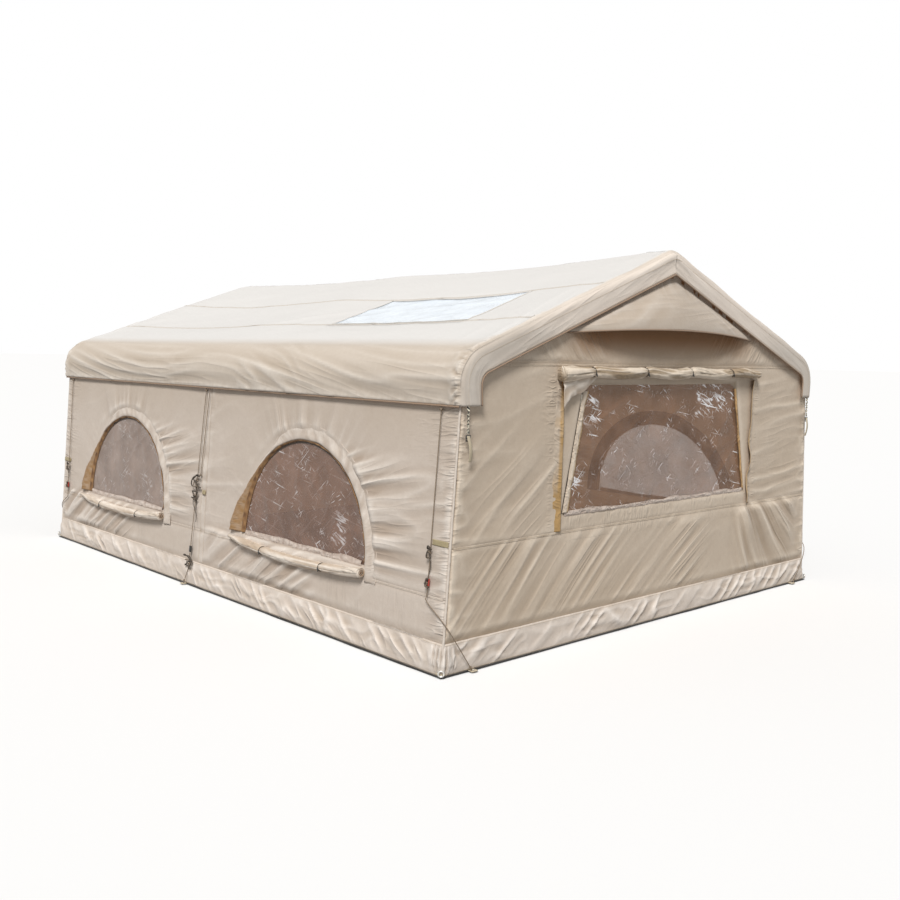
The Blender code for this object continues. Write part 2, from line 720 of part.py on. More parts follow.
def build_front_fittings(front):
    points = []
    for i in range(GABLE_ROLL_STEPS + 1):
        share = 2.0 * i / GABLE_ROLL_STEPS - 1.0
        up = GABLE_ROLL_HEIGHT - GABLE_ROLL_SAG * math.cos(2 * math.pi * share) ** 2
        out = GABLE_ROLL_RADIUS + GAP
        points.append(front @ Vector((share * GABLE_ROLL_HALF_LENGTH, up, out)))
    tube("gable_flap_roll", points, GABLE_ROLL_RADIUS, fly_canvas)
    taper = (GABLE_SILL_HALF_WIDTH - GABLE_HEAD_HALF_WIDTH) / (GABLE_HEAD - GABLE_SILL)
    for side, name in ((-1.0, "near"), (1.0, "far")):
        inner = side * STORM_FLAP_INNER
        outer = side * (STORM_FLAP_INNER + STORM_FLAP_WIDTH)
        strip = [(inner, STORM_FLAP_FOOT), (outer, STORM_FLAP_FOOT),
                 (outer, STORM_FLAP_HEAD), (inner, STORM_FLAP_HEAD)]
        panel("storm_flap_" + name, [strip], STORM_FLAP_CLOTH, fly_canvas, front,
              -STORM_FLAP_CLOTH - GAP)
        height = GABLE_HEAD - GABLE_SLIDER_DROP
        edge = GABLE_HEAD_HALF_WIDTH + taper * GABLE_SLIDER_DROP + GABLE_ZIP_OFFSET
        turn = Matrix.Rotation(side * math.atan(taper), 4, "Z")
        spot = Matrix.Translation((side * edge, height, 0.0))
        build_slider("gable_slider_" + name, front @ spot @ turn)


def build_brow():
    """Cloth hood that laps under the gable band and bulges out along its free edge."""
    pitch = roof_pitch(RIDGE_HEIGHT_FRONT)
    top_in = (GABLE_BAND - BROW_LAP) * math.hypot(1.0, pitch)
    edge_in = GABLE_BAND * math.hypot(1.0, pitch)
    end_low = RIDGE_HEIGHT_FRONT - pitch * BROW_HALF_WIDTH - edge_in - BROW_END_DROP
    lap_row = []
    rows = [lap_row]
    for j in range(BROW_STEPS + 1):
        down = j / BROW_STEPS
        row = []
        for i in range(BROW_COLUMNS + 1):
            share = 2.0 * i / BROW_COLUMNS - 1.0
            y = share * BROW_HALF_WIDTH
            slope = RIDGE_HEIGHT_FRONT - pitch * abs(y)
            high = slope - edge_in
            low = end_low + BROW_EDGE_RISE * (1.0 - share * share)
            out = BROW_BULGE * (1.0 - share * share) * math.sin(math.pi / 2 * down)
            x = HALF_LENGTH + LOOSE_GAP + BROW_CLOTH
            row.append(Vector((x + out, y, high + (low - high) * down)))
            if j == 0:
                lap_row.append(Vector((x, y, slope - top_in)))
        rows.append(row)
    sheet("gable_brow", rows, BROW_CLOTH, fly_canvas)


def build_door(rear):
    """Door on the wall's outer face, with its slider beside its free edge."""
    outline = rounded_box(DOOR_HALF_WIDTH + DOOR_LAP, DOOR_SILL - DOOR_LAP,
                          DOOR_HEAD + DOOR_LAP, DOOR_CORNER_RADIUS + DOOR_LAP)
    door = panel("door_panel", [outline], CANVAS, wall_canvas, rear, -CANVAS - GAP)
    hinge = Vector((-DOOR_HALF_WIDTH - DOOR_LAP, 0.0, CANVAS + GAP))
    hang_on(door, "door_hinge_line", rear @ hinge)
    edge = DOOR_HALF_WIDTH + DOOR_LAP + SLIDER_WIDTH
    spot = Matrix.Translation((edge, DOOR_SILL + DOOR_SLIDER_HEIGHT, 0.0))
    build_slider("door_slider", rear @ spot)


def build_ground():
    border_x = HALF_LENGTH + GROUNDSHEET_BORDER
    border_y = BASE_HALF_WIDTH + GROUNDSHEET_BORDER
    ear_x = border_x + EAR_REACH
    ear_y = border_y + EAR_REACH
    low = CORNER_ROPE_FOOT_Y - EAR_HALF_WIDTH
    high = CORNER_ROPE_FOOT_Y + EAR_HALF_WIDTH
    left = MIDDLE_ROPE_FOOT_X - EAR_HALF_WIDTH
    right = MIDDLE_ROPE_FOOT_X + EAR_HALF_WIDTH
    half = [(border_x, -low), (ear_x, -low), (ear_x, low), (border_x, low)]
    end = [(border_x, -border_y), (border_x, -high), (ear_x, -high), half[1], half[0],
           half[3], half[2], (ear_x, high), (border_x, high), (border_x, border_y)]
    outline = [(left, -border_y), (left, -ear_y), (right, -ear_y), (right, -border_y)] + end
    outline += [(right, border_y), (right, ear_y), (left, ear_y), (left, border_y)]
    outline += [(-x, -y) for x, y in end]
    holes = []
    for centre in ear_centres():
        eyelet = arc_points(centre, EYELET_RADIUS, 0.0, 2 * math.pi, EYELET_STEPS)
        holes.append(eyelet[:-1])
    flat = frame_at((0.0, 0.0, GROUNDSHEET), (1.0, 0.0, 0.0), (0.0, 1.0, 0.0))
    panel("groundsheet", [outline] + holes, GROUNDSHEET, ground_cloth, flat)


def ear_centres():
    """Centres of the eyelets that the guy ropes are made fast by."""
    reach = GROUNDSHEET_BORDER + EAR_REACH - 2 * EYELET_RADIUS
    corners = [(sx * (HALF_LENGTH + reach), sy * CORNER_ROPE_FOOT_Y)
               for sx in (-1.0, 1.0) for sy in (-1.0, 1.0)]
    sides = [(MIDDLE_ROPE_FOOT_X, sy * (BASE_HALF_WIDTH + reach)) for sy in (-1.0, 1.0)]
    return corners + sides


def build_skirt():
    rows = []
    tilt = SKIRT_FOOT_OUT / SKIRT_HEIGHT + LEAN
    foot = FLOOR_TOP + SKIRT_CLOTH * tilt
    for height, flare in ((SKIRT_HEIGHT, GAP), (foot, SKIRT_FOOT_OUT)):
        x = HALF_LENGTH + flare + SKIRT_CLOTH
        y = wall_y(height) + flare + SKIRT_CLOTH
        corners = [(-x, -y), (x, -y), (x, y), (-x, y), (-x, -y)]
        rows.append([Vector((cx, cy, height)) for cx, cy in corners])

    def close_ring(work, grid):
        bmesh.ops.remove_doubles(work, verts=work.verts, dist=GAP)

    sheet("mud_skirt", rows, SKIRT_CLOTH, wall_canvas, None, close_ring)


def smooth_route(route, count):
    """Points spaced along a smooth curve through the route."""
    ends = [route[0] * 2 - route[1]] + route + [route[-1] * 2 - route[-2]]
    fine = []
    for i in range(1, len(ends) - 2):
        p0, p1, p2, p3 = ends[i - 1:i + 3]
        for step in range(CURVE_STEPS):
            t = step / CURVE_STEPS
            bend = p0 * -1 + p1 * 3 - p2 * 3 + p3
            fall = p0 * 2 - p1 * 5 + p2 * 4 - p3
            fine.append((p1 * 2 + (p2 - p0) * t + fall * t * t + bend * t ** 3) / 2)
    fine.append(route[-1])
    travelled = [0.0]
    for before, after in zip(fine, fine[1:]):
        travelled.append(travelled[-1] + (after - before).length)
    points = []
    index = 0
    for i in range(count + 1):
        target = travelled[-1] * i / count
        while index < len(fine) - 2 and travelled[index + 1] < target:
            index += 1
        span = travelled[index + 1] - travelled[index]
        points.append(fine[index].lerp(fine[index + 1], (target - travelled[index]) / span))
    return points


def corner_line(height):
    """Where the straight upper stretch of a corner rope passes, in the front near corner."""
    share = (HEM_HEIGHT - height) / (HEM_HEIGHT - CORNER_ROPE_BEND_HEIGHT)
    x = HALF_LENGTH - CORNER_ROPE_INSET - CORNER_ROPE_DRIFT * share
    return Vector((x, -wall_y(height) - ROPE_STANDOFF, height))


def middle_line(height):
    share = (HEM_HEIGHT - height) / (HEM_HEIGHT - MIDDLE_ROPE_BEND_HEIGHT)
    x = MIDDLE_ROPE_TOP_X + (MIDDLE_ROPE_LOW_X - MIDDLE_ROPE_TOP_X) * share
    return Vector((x, -wall_y(height) - ROPE_STANDOFF, height))


def straight_stretch(line, low):
    top = HEM_HEIGHT - GAP - ROPE_RADIUS * LEAN
    eased = low + ROPE_EASE
    heights = [top + (eased - top) * i / STRAIGHT_STEPS for i in range(STRAIGHT_STEPS + 1)]
    return [line(height) for height in heights + [low]]


def rope_routes():
    rest = GROUNDSHEET + GAP + 2 * ROPE_RADIUS
    corner = straight_stretch(corner_line, CORNER_ROPE_BEND_HEIGHT)
    turn_y = -wall_y(CORNER_ROPE_TURN_HEIGHT)
    corner.append(Vector((HALF_LENGTH + ROPE_STANDOFF, turn_y, CORNER_ROPE_TURN_HEIGHT)))
    corner.append(Vector((HALF_LENGTH + ROPE_FOOT_REACH, -CORNER_ROPE_FOOT_Y - ROPE_FOOT_TUCK,
                          rest)))
    middle = straight_stretch(middle_line, MIDDLE_ROPE_BEND_HEIGHT)
    middle.append(Vector((MIDDLE_ROPE_FOOT_X + ROPE_FOOT_TUCK,
                          -BASE_HALF_WIDTH - ROPE_FOOT_REACH, rest)))
    return corner, middle


def build_tensioner(name, centre, along, plastic):
    """Runner that the rope passes through, long side up the rope."""
    across = Vector((1.0, 0.0, 0.0))
    up = along.cross(across).normalized()
    across = up.cross(along).normalized()
    place = frame_at(centre + along * TENSIONER_LENGTH / 2, across, up)
    half = TENSIONER_HALF_WIDTH
    deep = TENSIONER_HALF_DEPTH
    cut = deep / 2
    outer = [(half - cut, -deep), (half, cut - deep), (half, deep - cut), (half - cut, deep),
             (cut - half, deep), (-half, deep - cut), (-half, cut - deep), (cut - half, -deep)]
    bore = arc_points((0.0, 0.0), TENSIONER_BORE, 0.0, 2 * math.pi, BORE_STEPS)[:-1]
    panel(name, [outer, bore], TENSIONER_LENGTH, plastic, place)


def build_ropes():
    corner, middle = rope_routes()
    for side, side_name in ((1.0, "near"), (-1.0, "far")):
        for end, end_name in ((1.0, "front"), (-1.0, "rear")):
            mirror = Vector((end, side, 1.0))
            name = side_name + "_" + end_name
            route = [point * mirror for point in corner]
            tube("guy_rope_" + name, smooth_route(route, ROPE_POINTS), ROPE_RADIUS,
                 rope_fibre, ROPE_RING_STEPS)
            centre = corner_line(CORNER_TENSIONER_HEIGHT) * mirror
            along = (corner_line(HEM_HEIGHT) * mirror - centre).normalized()
            build_tensioner("tensioner_" + name, centre, along, red_plastic)
        mirror = Vector((1.0, side, 1.0))
        name = side_name + "_middle"
        route = [point * mirror for point in middle]
        tube("guy_rope_" + name, smooth_route(route, ROPE_POINTS), ROPE_RADIUS, rope_fibre,
             ROPE_RING_STEPS)
        centre = middle_line(MIDDLE_TENSIONER_HEIGHT) * mirror
        along = (middle_line(HEM_HEIGHT) * mirror - centre).normalized()
        build_tensioner("tensioner_" + name, centre, along, black_plastic)


def build_buckles():
    """Ladder locks hung under the corner straps, in the plane of the gable bands."""
    inset = (STRAP_OUTER + STRAP_INNER) / 2
    middle_y = FLY_HEM_HALF_WIDTH - inset
    top = HEM_HEIGHT - STRAP_DROP - BUCKLE_GAP
    slot_high = (BUCKLE_HEIGHT - 3 * BUCKLE_BAR) / 2
    frame = [(-BUCKLE_HALF_WIDTH, -BUCKLE_HEIGHT), (BUCKLE_HALF_WIDTH, -BUCKLE_HEIGHT),
             (BUCKLE_HALF_WIDTH, 0.0), (-BUCKLE_HALF_WIDTH, 0.0)]
    slots = []
    wide = BUCKLE_HALF_WIDTH - BUCKLE_BAR
    for high in (-BUCKLE_BAR, -slot_high - 2 * BUCKLE_BAR):
        slots.append([(-wide, high - slot_high), (wide, high - slot_high), (wide, high),
                      (-wide, high)])
    for end, end_name in ((1.0, "front"), (-1.0, "rear")):
        for side, side_name in ((-1.0, "near"), (1.0, "far")):
            place = frame_at((end * FLY_END_X, side * middle_y, top), (0.0, end, 0.0),
                             (0.0, 0.0, 1.0))
            name = "buckle_" + side_name + "_" + end_name
            buckle = panel(name, [frame] + slots, BUCKLE_THICKNESS, black_plastic, place)
            hang_on(buckle, name + "_pivot", place.translation)


def build_valve(arches):
    """Inflation valve on the cabin side of the rear arch's near leg."""
    arch = arches["rear"]
    side_in = (CANVAS + LAYER_GAP + ARCH_RADIUS) * math.hypot(1.0, LEAN)
    leg_y = -(wall_y(VALVE_HEIGHT) - side_in)
    root = Vector((arch["x"] + ARCH_RADIUS - VALVE_ROOT, leg_y, VALVE_HEIGHT))
    place = frame_at(root, (0.0, 1.0, 0.0), (0.0, 0.0, 1.0))
    flange = VALVE_ROOT + VALVE_FLANGE_REACH
    neck = flange + VALVE_NECK_REACH
    seat = neck - VALVE_BORE_DEPTH
    guide = PLUNGER_RADIUS + GAP
    profile = [(0.0, seat - PLUNGER_GUIDE_DEPTH), (guide, seat - PLUNGER_GUIDE_DEPTH),
               (guide, seat), (VALVE_BORE, seat), (VALVE_BORE, neck), (VALVE_NECK_RADIUS, neck),
               (VALVE_NECK_RADIUS, flange), (VALVE_RADIUS, flange), (VALVE_RADIUS, 0.0),
               (0.0, 0.0)]
    body = turned("valve_body", profile, black_plastic, place)
    cut_away(body, arch["cutter"])
    stem = seat - PLUNGER_GUIDE_DEPTH + PLUNGER_TRAVEL + LOOSE_GAP
    head = neck - LOOSE_GAP
    plunger = [(0.0, head), (PLUNGER_HEAD_RADIUS, head),
               (PLUNGER_HEAD_RADIUS, head - PLUNGER_HEAD),
               (PLUNGER_RADIUS, head - PLUNGER_HEAD), (PLUNGER_RADIUS, stem), (0.0, stem)]
    turned("valve_plunger", plunger, red_plastic, place)
    rim = flange + GAP
    top = flange + VALVE_CAP_REACH
    inner = VALVE_CAP_RADIUS - VALVE_CAP_WALL
    cap = [(0.0, top), (VALVE_CAP_RADIUS, top), (VALVE_CAP_RADIUS, rim), (inner, rim),
           (inner, top - VALVE_CAP_WALL), (0.0, top - VALVE_CAP_WALL)]
    turned("valve_cap", cap, black_plastic, place)


arches = build_arches()
build_beams(arches)
build_roof()
build_fly()
build_long_walls()
front_place, rear_place = build_gables()
build_front_fittings(front_place)
build_brow()
build_door(rear_place)
build_ground()
build_skirt()
build_ropes()
build_buckles()
build_valve(arches)

for part in parts.objects:
    if part.type == "MESH" and not part.modifiers:
        part.data.shade_smooth()
        part.data.set_sharp_from_angle(angle=math.radians(SHARP_ANGLE))
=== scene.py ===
import math

import bpy
import numpy as np
from mathutils import Matrix, Vector


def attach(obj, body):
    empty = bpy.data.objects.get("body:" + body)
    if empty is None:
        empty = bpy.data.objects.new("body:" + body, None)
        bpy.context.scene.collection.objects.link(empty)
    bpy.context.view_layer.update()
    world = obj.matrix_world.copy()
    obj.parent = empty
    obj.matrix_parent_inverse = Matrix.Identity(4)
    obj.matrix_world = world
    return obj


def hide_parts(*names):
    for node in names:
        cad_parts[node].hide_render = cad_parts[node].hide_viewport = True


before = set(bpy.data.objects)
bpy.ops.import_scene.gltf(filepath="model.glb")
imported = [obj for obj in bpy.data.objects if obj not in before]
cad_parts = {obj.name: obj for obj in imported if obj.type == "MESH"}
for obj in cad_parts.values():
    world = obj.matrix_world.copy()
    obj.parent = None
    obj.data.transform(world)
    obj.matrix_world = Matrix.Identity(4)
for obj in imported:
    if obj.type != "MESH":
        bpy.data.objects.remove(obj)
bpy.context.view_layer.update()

print("frame loaded")

# The house itself, in metres, as the frame has it
house = {"halfLength": 2.3, "footHalfWidth": 1.728, "lean": 0.088 / 1.3, "hemHeight": 1.3,
    "wallHeight": 1.33, "flyHemHalfWidth": 1.662, "eaveHalfWidth": 1.675, "eaveCorner": 1.532,
    "ridgeFront": 2.165, "ridgeMiddle": 2.12, "ridgeRear": 2.125, "ridgeSag": 0.018, "slopeSag": 0.024,
    "archEnd": 2.2206, "flyEnd": 2.335, "shoulder": 0.03, "band": 0.13,
    "slopeLow": 1.33, "slopeHigh": 0.33}
window = {"middles": (1.06, -1.175), "radius": 0.595, "sill": 0.435, "placket": 0.705}
skylight = {"start": 0.565, "end": 1.805, "low": 1.15, "high": 0.615}
leanAngle = math.atan(house["lean"])
floorTop = 0.0064


def wallReach(height):
    return house["footHalfWidth"] - house["lean"] * height


# Camera at the photograph's viewing angle
camera = {"place": (5.7343, -4.8818, 1.54), "yaw": -47.2, "pitch": -5.43, "roll": 1.215, "lens": 40.01}


def aimCamera():
    yaw, pitch, roll = (math.radians(camera[key]) for key in ("yaw", "pitch", "roll"))
    ahead = Vector((math.sin(yaw) * math.cos(pitch), math.cos(yaw) * math.cos(pitch), math.sin(pitch)))
    level = Vector((math.cos(yaw), -math.sin(yaw), 0.0))
    above = level.cross(ahead)
    right = level * math.cos(roll) + above * math.sin(roll)
    up = above * math.cos(roll) - level * math.sin(roll)
    data = bpy.data.cameras.new("camera")
    data.lens = camera["lens"]
    data.sensor_width = 36
    eye = bpy.data.objects.new("camera", data)
    bpy.context.collection.objects.link(eye)
    turn = Matrix((right, up, -ahead)).transposed().to_4x4()
    eye.matrix_world = Matrix.Translation(Vector(camera["place"])) @ turn
    bpy.context.scene.camera = eye


aimCamera()
bpy.context.scene.view_settings.view_transform = "Standard"
print("camera placed")


def addNode(tree, kind, **values):
    made = tree.nodes.new("ShaderNode" + kind)
    for key, value in values.items():
        if key in made.inputs:
            made.inputs[key].default_value = value
        else:
            setattr(made, key, value)
    return made


def newFinish(name, color, roughness, **values):
    finish = bpy.data.materials.new(name)
    finish.use_nodes = True
    shader = finish.node_tree.nodes["Principled BSDF"]
    shader.inputs["Base Color"].default_value = (*color, 1.0)
    shader.inputs["Roughness"].default_value = roughness
    for key, value in values.items():
        shader.inputs[key].default_value = value
    finish.diffuse_color = (*color, 1.0)
    return finish, finish.node_tree, shader


def mixColor(tree, amount, low, high):
    made = tree.nodes.new("ShaderNodeMix")
    made.data_type = "RGBA"
    for socket, value in ((made.inputs[0], amount), (made.inputs[6], low), (made.inputs[7], high)):
        if isinstance(value, bpy.types.NodeSocket):
            tree.links.new(value, socket)
        else:
            socket.default_value = value if isinstance(value, float) else (*value, 1.0)
    return made.outputs[2]


def spanned(tree, source, low, high, start=0.0, end=1.0):
    made = tree.nodes.new("ShaderNodeMapRange")
    tree.links.new(source, made.inputs["Value"])
    made.inputs["From Min"].default_value = low
    made.inputs["From Max"].default_value = high
    made.inputs["To Min"].default_value = start
    made.inputs["To Max"].default_value = end
    return made.outputs["Result"]


def noiseFrom(tree, place, scale, detail=3.0, roughness=0.55, distortion=0.0):
    made = addNode(tree, "TexNoise", Scale=scale, Detail=detail, Roughness=roughness,
        Distortion=distortion)
    tree.links.new(place, made.inputs["Vector"])
    return made.outputs["Fac"]


def bumpOver(tree, height, strength, distance, below=None):
    made = addNode(tree, "Bump", Strength=strength, Distance=distance)
    tree.links.new(height, made.inputs["Height"])
    if below is not None:
        tree.links.new(below, made.inputs["Normal"])
    return made.outputs["Normal"]


def mathOf(tree, operation, first, second):
    made = tree.nodes.new("ShaderNodeMath")
    made.operation = operation
    for socket, value in zip(made.inputs, (first, second)):
        if isinstance(value, bpy.types.NodeSocket):
            tree.links.new(value, socket)
        else:
            socket.default_value = value
    return made.outputs[0]


def attributeOf(tree, name):
    return addNode(tree, "Attribute", attribute_name=name).outputs["Fac"]


def wovenHeight(tree, pitch):
    place = addNode(tree, "TexCoord").outputs["UV"]
    threads = []
    for direction in ("X", "Y"):
        wave = addNode(tree, "TexWave", wave_type="BANDS", bands_direction=direction,
            Scale=math.pi / 10 / pitch)
        tree.links.new(place, wave.inputs["Vector"])
        threads.append(wave.outputs["Fac"])
    return mathOf(tree, "ADD", threads[0], threads[1])


# Narrow pleats, drawn where a mesh marks how they run and how deep they are; the second output is painted
# shade in their valleys
def pleatHeight(tree):
    place = addNode(tree, "CombineXYZ")
    tree.links.new(attributeOf(tree, "pleatAcross"), place.inputs["X"])
    tree.links.new(attributeOf(tree, "pleatAlong"), place.inputs["Y"])
    noise = noiseFrom(tree, place.outputs["Vector"], 1.0, 1.0, 0.35)
    away = mathOf(tree, "ABSOLUTE", mathOf(tree, "SUBTRACT", noise, 0.5), 0.0)
    ridge = mathOf(tree, "POWER", spanned(tree, away, 0.0, 0.17, 1.0, 0.0), 1.5)
    patch = spanned(tree, noiseFrom(tree, place.outputs["Vector"], 0.33, 1.0), 0.36, 0.6, 0.25, 1.0)
    depth = mathOf(tree, "MULTIPLY", attributeOf(tree, "pleatDepth"), patch)
    shade = mathOf(tree, "MULTIPLY", mathOf(tree, "SUBTRACT", 1.0, ridge), depth)
    return mathOf(tree, "MULTIPLY", ridge, depth), mathOf(tree, "MULTIPLY", shade, 60.0)


# Woven cloth with painted shade in its fold and pleat valleys, painted highlight on its fold crests,
# mottling, weave and small crumples
def clothFinish(name, cloth, crest, valley, tintAndPaintedLight=None, tintAndLightAmount=1.0, paintedLight=None, glow=None, speck=0.22,
        roughness=0.78, sheen=0.12, crumple=0.35, pitch=0.0022):
    finish, tree, shader = newFinish(name, cloth, roughness)
    shader.inputs["Sheen Weight"].default_value = sheen
    shader.inputs["Sheen Roughness"].default_value = 0.45
    shader.inputs["Specular IOR Level"].default_value = 0.3
    place = addNode(tree, "TexCoord").outputs["Object"]
    fold = spanned(tree, attributeOf(tree, "fold"), -1.0, 1.0)
    # painted shade and highlight: fold valleys take the valley colour, fold crests the crest colour
    body = mixColor(tree, fold, valley, crest)
    mottle = spanned(tree, noiseFrom(tree, place, 1.7, 5.0, 0.6), 0.42, 0.66)
    soiled = mixColor(tree, mathOf(tree, "MULTIPLY", mottle, 0.35), body, cloth)
    small = spanned(tree, noiseFrom(tree, place, 38.0, 4.0, 0.7), 0.35, 0.75)
    grainy = mixColor(tree, mathOf(tree, "MULTIPLY", small, speck), soiled, valley)
    pleats, shade = pleatHeight(tree)
    # painted shade in the pleats' valleys
    final = mixColor(tree, shade, grainy, valley)
    # second colour mixed in by a mark: mud and golden lining, and also painted shade under the eaves and
    # painted highlight on the roof
    if tintAndPaintedLight:
        tintAndLightShare = mathOf(tree, "MULTIPLY", attributeOf(tree, "tintAndPaintedLight"), tintAndLightAmount)
        final = mixColor(tree, tintAndLightShare, final, tintAndPaintedLight)
    # painted light: warm painted shade under the brow on the gable, painted highlight on the fly's end
    # bands
    if paintedLight:
        final = mixColor(tree, attributeOf(tree, "paintedLight"), final, paintedLight)
    tree.links.new(final, shader.inputs["Base Color"])
    if glow:
        tree.links.new(final, shader.inputs["Emission Color"])
        shader.inputs["Emission Strength"].default_value = glow
    crumpled = bumpOver(tree, noiseFrom(tree, place, 14.0, 4.0, 0.6, 0.6), crumple, 0.006,
        bumpOver(tree, pleats, 1.0, 1.0))
    fine = bumpOver(tree, noiseFrom(tree, place, 70.0, 3.0), crumple / 2, 0.0015, crumpled)
    weave = bumpOver(tree, wovenHeight(tree, pitch), 0.25, 0.0003, fine)
    tree.links.new(weave, shader.inputs["Normal"])
    return finish


# Each look: cloth colour, the crest colour as painted highlight and the valley colour as painted shade
wallLook = {"cloth": (0.665, 0.582, 0.508), "crest": (0.73, 0.66, 0.59), "valley": (0.42, 0.335, 0.265)}
# Gable cloth: a warmer copy of the wall canvas, painted warm shade of the gable's shaded side
gableShadedLook = {"cloth": (0.665, 0.56, 0.45), "crest": (0.74, 0.64, 0.525), "valley": (0.4, 0.31, 0.225),
    "tintAndPaintedLight": (0.4, 0.29, 0.18), "paintedLight": (0.24, 0.105, 0.03)}
# walls: second colour is mud near the ground and painted shade under the eave
wallCanvas = clothFinish("wall canvas", **wallLook, tintAndPaintedLight=(0.4, 0.31, 0.22))
gableShadedCanvas = clothFinish("gable canvas painted warm shade", **gableShadedLook)
# Fly canvas: a paler colour on the roof slopes and a paler colour on the end bands, both painted
# highlight
flyCanvas = clothFinish("fly canvas", (0.62, 0.545, 0.465), (0.68, 0.615, 0.54), (0.43, 0.35, 0.27),
    tintAndPaintedLight=(0.68, 0.66, 0.635), paintedLight=(0.93, 0.82, 0.72), sheen=0.15, crumple=0.22)
skirtCanvas = clothFinish("skirt canvas", (0.83, 0.735, 0.66), (0.88, 0.815, 0.755), (0.47, 0.38, 0.3),
    tintAndPaintedLight=(0.42, 0.33, 0.24), crumple=0.5, tintAndLightAmount=0.5)
# Brown cabin lining that glows a little: painted glow standing in for light through the canvas
glowingLining = clothFinish("cabin lining painted glow", (0.48, 0.32, 0.21), (0.52, 0.36, 0.24), (0.34, 0.22, 0.14),
    glow=0.16)
placketCloth = clothFinish("placket canvas", **wallLook, tintAndPaintedLight=(0.31, 0.17, 0.062))
goldLining = clothFinish("golden lining", (0.48, 0.28, 0.11), (0.64, 0.42, 0.2), (0.2, 0.095, 0.035),
    speck=0.4)
# Dark brown facing: painted shade along the placket's inner edge
revealShade = clothFinish("reveal painted shade", (0.24, 0.125, 0.055), (0.36, 0.205, 0.09), (0.12, 0.06, 0.028))
rollCanvas = clothFinish("rolled flap canvas", (0.745, 0.65, 0.55), (0.81, 0.735, 0.65),
    (0.45, 0.34, 0.24), speck=0.12)
webbing = clothFinish("webbing", (0.56, 0.48, 0.34), (0.64, 0.56, 0.42), (0.4, 0.33, 0.22), pitch=0.0012)
netCloth = clothFinish("roof net", (0.36, 0.32, 0.27), (0.4, 0.36, 0.31), (0.26, 0.22, 0.18))
beamSleeve = clothFinish("beam sleeve", (0.19, 0.12, 0.075), (0.23, 0.15, 0.095), (0.12, 0.072, 0.042),
    roughness=0.55)
pipingTape = clothFinish("hem piping", (0.33, 0.23, 0.16), (0.4, 0.29, 0.21), (0.22, 0.14, 0.09))


# Clear film: a smoky pane with painted white glints on its crinkles and cloudy haze
def filmFinish(name, tint, glintColor, alpha, glintAlpha, amount, cloud=1.35, bare=0.12):
    finish, tree, shader = newFinish(name, tint, 0.14)
    shader.inputs["Specular IOR Level"].default_value = 0.6
    place = addNode(tree, "TexCoord").outputs["UV"]
    crossed = None
    for turn, long, thin, seed, low in ((0.55, 0.06, 0.008, 0.0, 0.725),
            (-0.65, 0.075, 0.0085, 3.7, 0.725), (1.25, 0.055, 0.0075, 8.1, 0.735),
            (-0.18, 0.34, 0.012, 9.4, 0.73), (0.75, 0.28, 0.011, 2.3, 0.745)):
        spin = addNode(tree, "Mapping", vector_type="TEXTURE", Rotation=(0.0, 0.0, turn),
            Location=(seed, seed, 0.0), Scale=(long, thin, 1.0))
        tree.links.new(place, spin.inputs["Vector"])
        line = spanned(tree, noiseFrom(tree, spin.outputs["Vector"], 1.0, 0.0, 0.5, 0.12), low,
            low + 0.05)
        crossed = line if crossed is None else mathOf(tree, "MAXIMUM", crossed, line)
    cluster = spanned(tree, noiseFrom(tree, place, 7.0, 2.0), 0.49, 0.64, bare, 0.9)
    patches = mathOf(tree, "MAXIMUM", cluster, attributeOf(tree, "glint"))
    glints = mathOf(tree, "MULTIPLY", crossed, patches)
    pulled = addNode(tree, "Mapping", vector_type="TEXTURE", Rotation=(0.0, 0.0, -0.45),
        Scale=(0.11, 0.026, 1.0))
    tree.links.new(place, pulled.inputs["Vector"])
    crumpled = spanned(tree, noiseFrom(tree, pulled.outputs["Vector"], 1.0, 3.0, 0.55, 0.9), 0.54, 0.62)
    shiny = mathOf(tree, "MULTIPLY", crumpled, attributeOf(tree, "glint"))
    marked = mathOf(tree, "MULTIPLY", mathOf(tree, "MAXIMUM", glints, shiny), amount)
    haze = spanned(tree, noiseFrom(tree, place, 6.0, 4.0), 0.35, 0.75)
    body = mixColor(tree, haze, tint, tuple(min(1.0, c * cloud) for c in tint))
    tree.links.new(mixColor(tree, marked, body, glintColor), shader.inputs["Base Color"])
    clear = mathOf(tree, "ADD", spanned(tree, haze, 0.0, 1.0, alpha - 0.05, alpha + 0.05),
        mathOf(tree, "MULTIPLY", marked, glintAlpha))
    tree.links.new(clear, shader.inputs["Alpha"])
    ripple = bumpOver(tree, noiseFrom(tree, place, 22.0, 4.0, 0.6, 1.0), 0.5, 0.004)
    tree.links.new(ripple, shader.inputs["Normal"])
    return finish


windowFilm = filmFinish("window film", (0.225, 0.13, 0.092), (0.93, 0.93, 0.95), 0.7, 0.3, 0.62)
greyFilm = filmFinish("shaded window film", (0.3, 0.225, 0.185), (0.93, 0.93, 0.95), 0.74, 0.26, 0.42,
    bare=0.04)
gableFilm = filmFinish("gable window film", (0.34, 0.19, 0.115), (0.95, 0.95, 0.97), 0.46, 0.5, 0.95,
    bare=0.03)
farFilm = filmFinish("far window film", (0.42, 0.36, 0.31), (0.9, 0.9, 0.92), 0.8, 0.2, 0.4)
# Pale blue skylight film: its colour is painted reflection of the sky
skylightSkyReflection = filmFinish("skylight film painted sky reflection", (0.76, 0.83, 0.9), (0.98, 0.99, 1.0), 0.92, 0.08, 0.25, 1.05)
filmHem = clothFinish("film hem", (0.53, 0.43, 0.36), (0.68, 0.59, 0.52), (0.33, 0.24, 0.19),
    roughness=0.35)


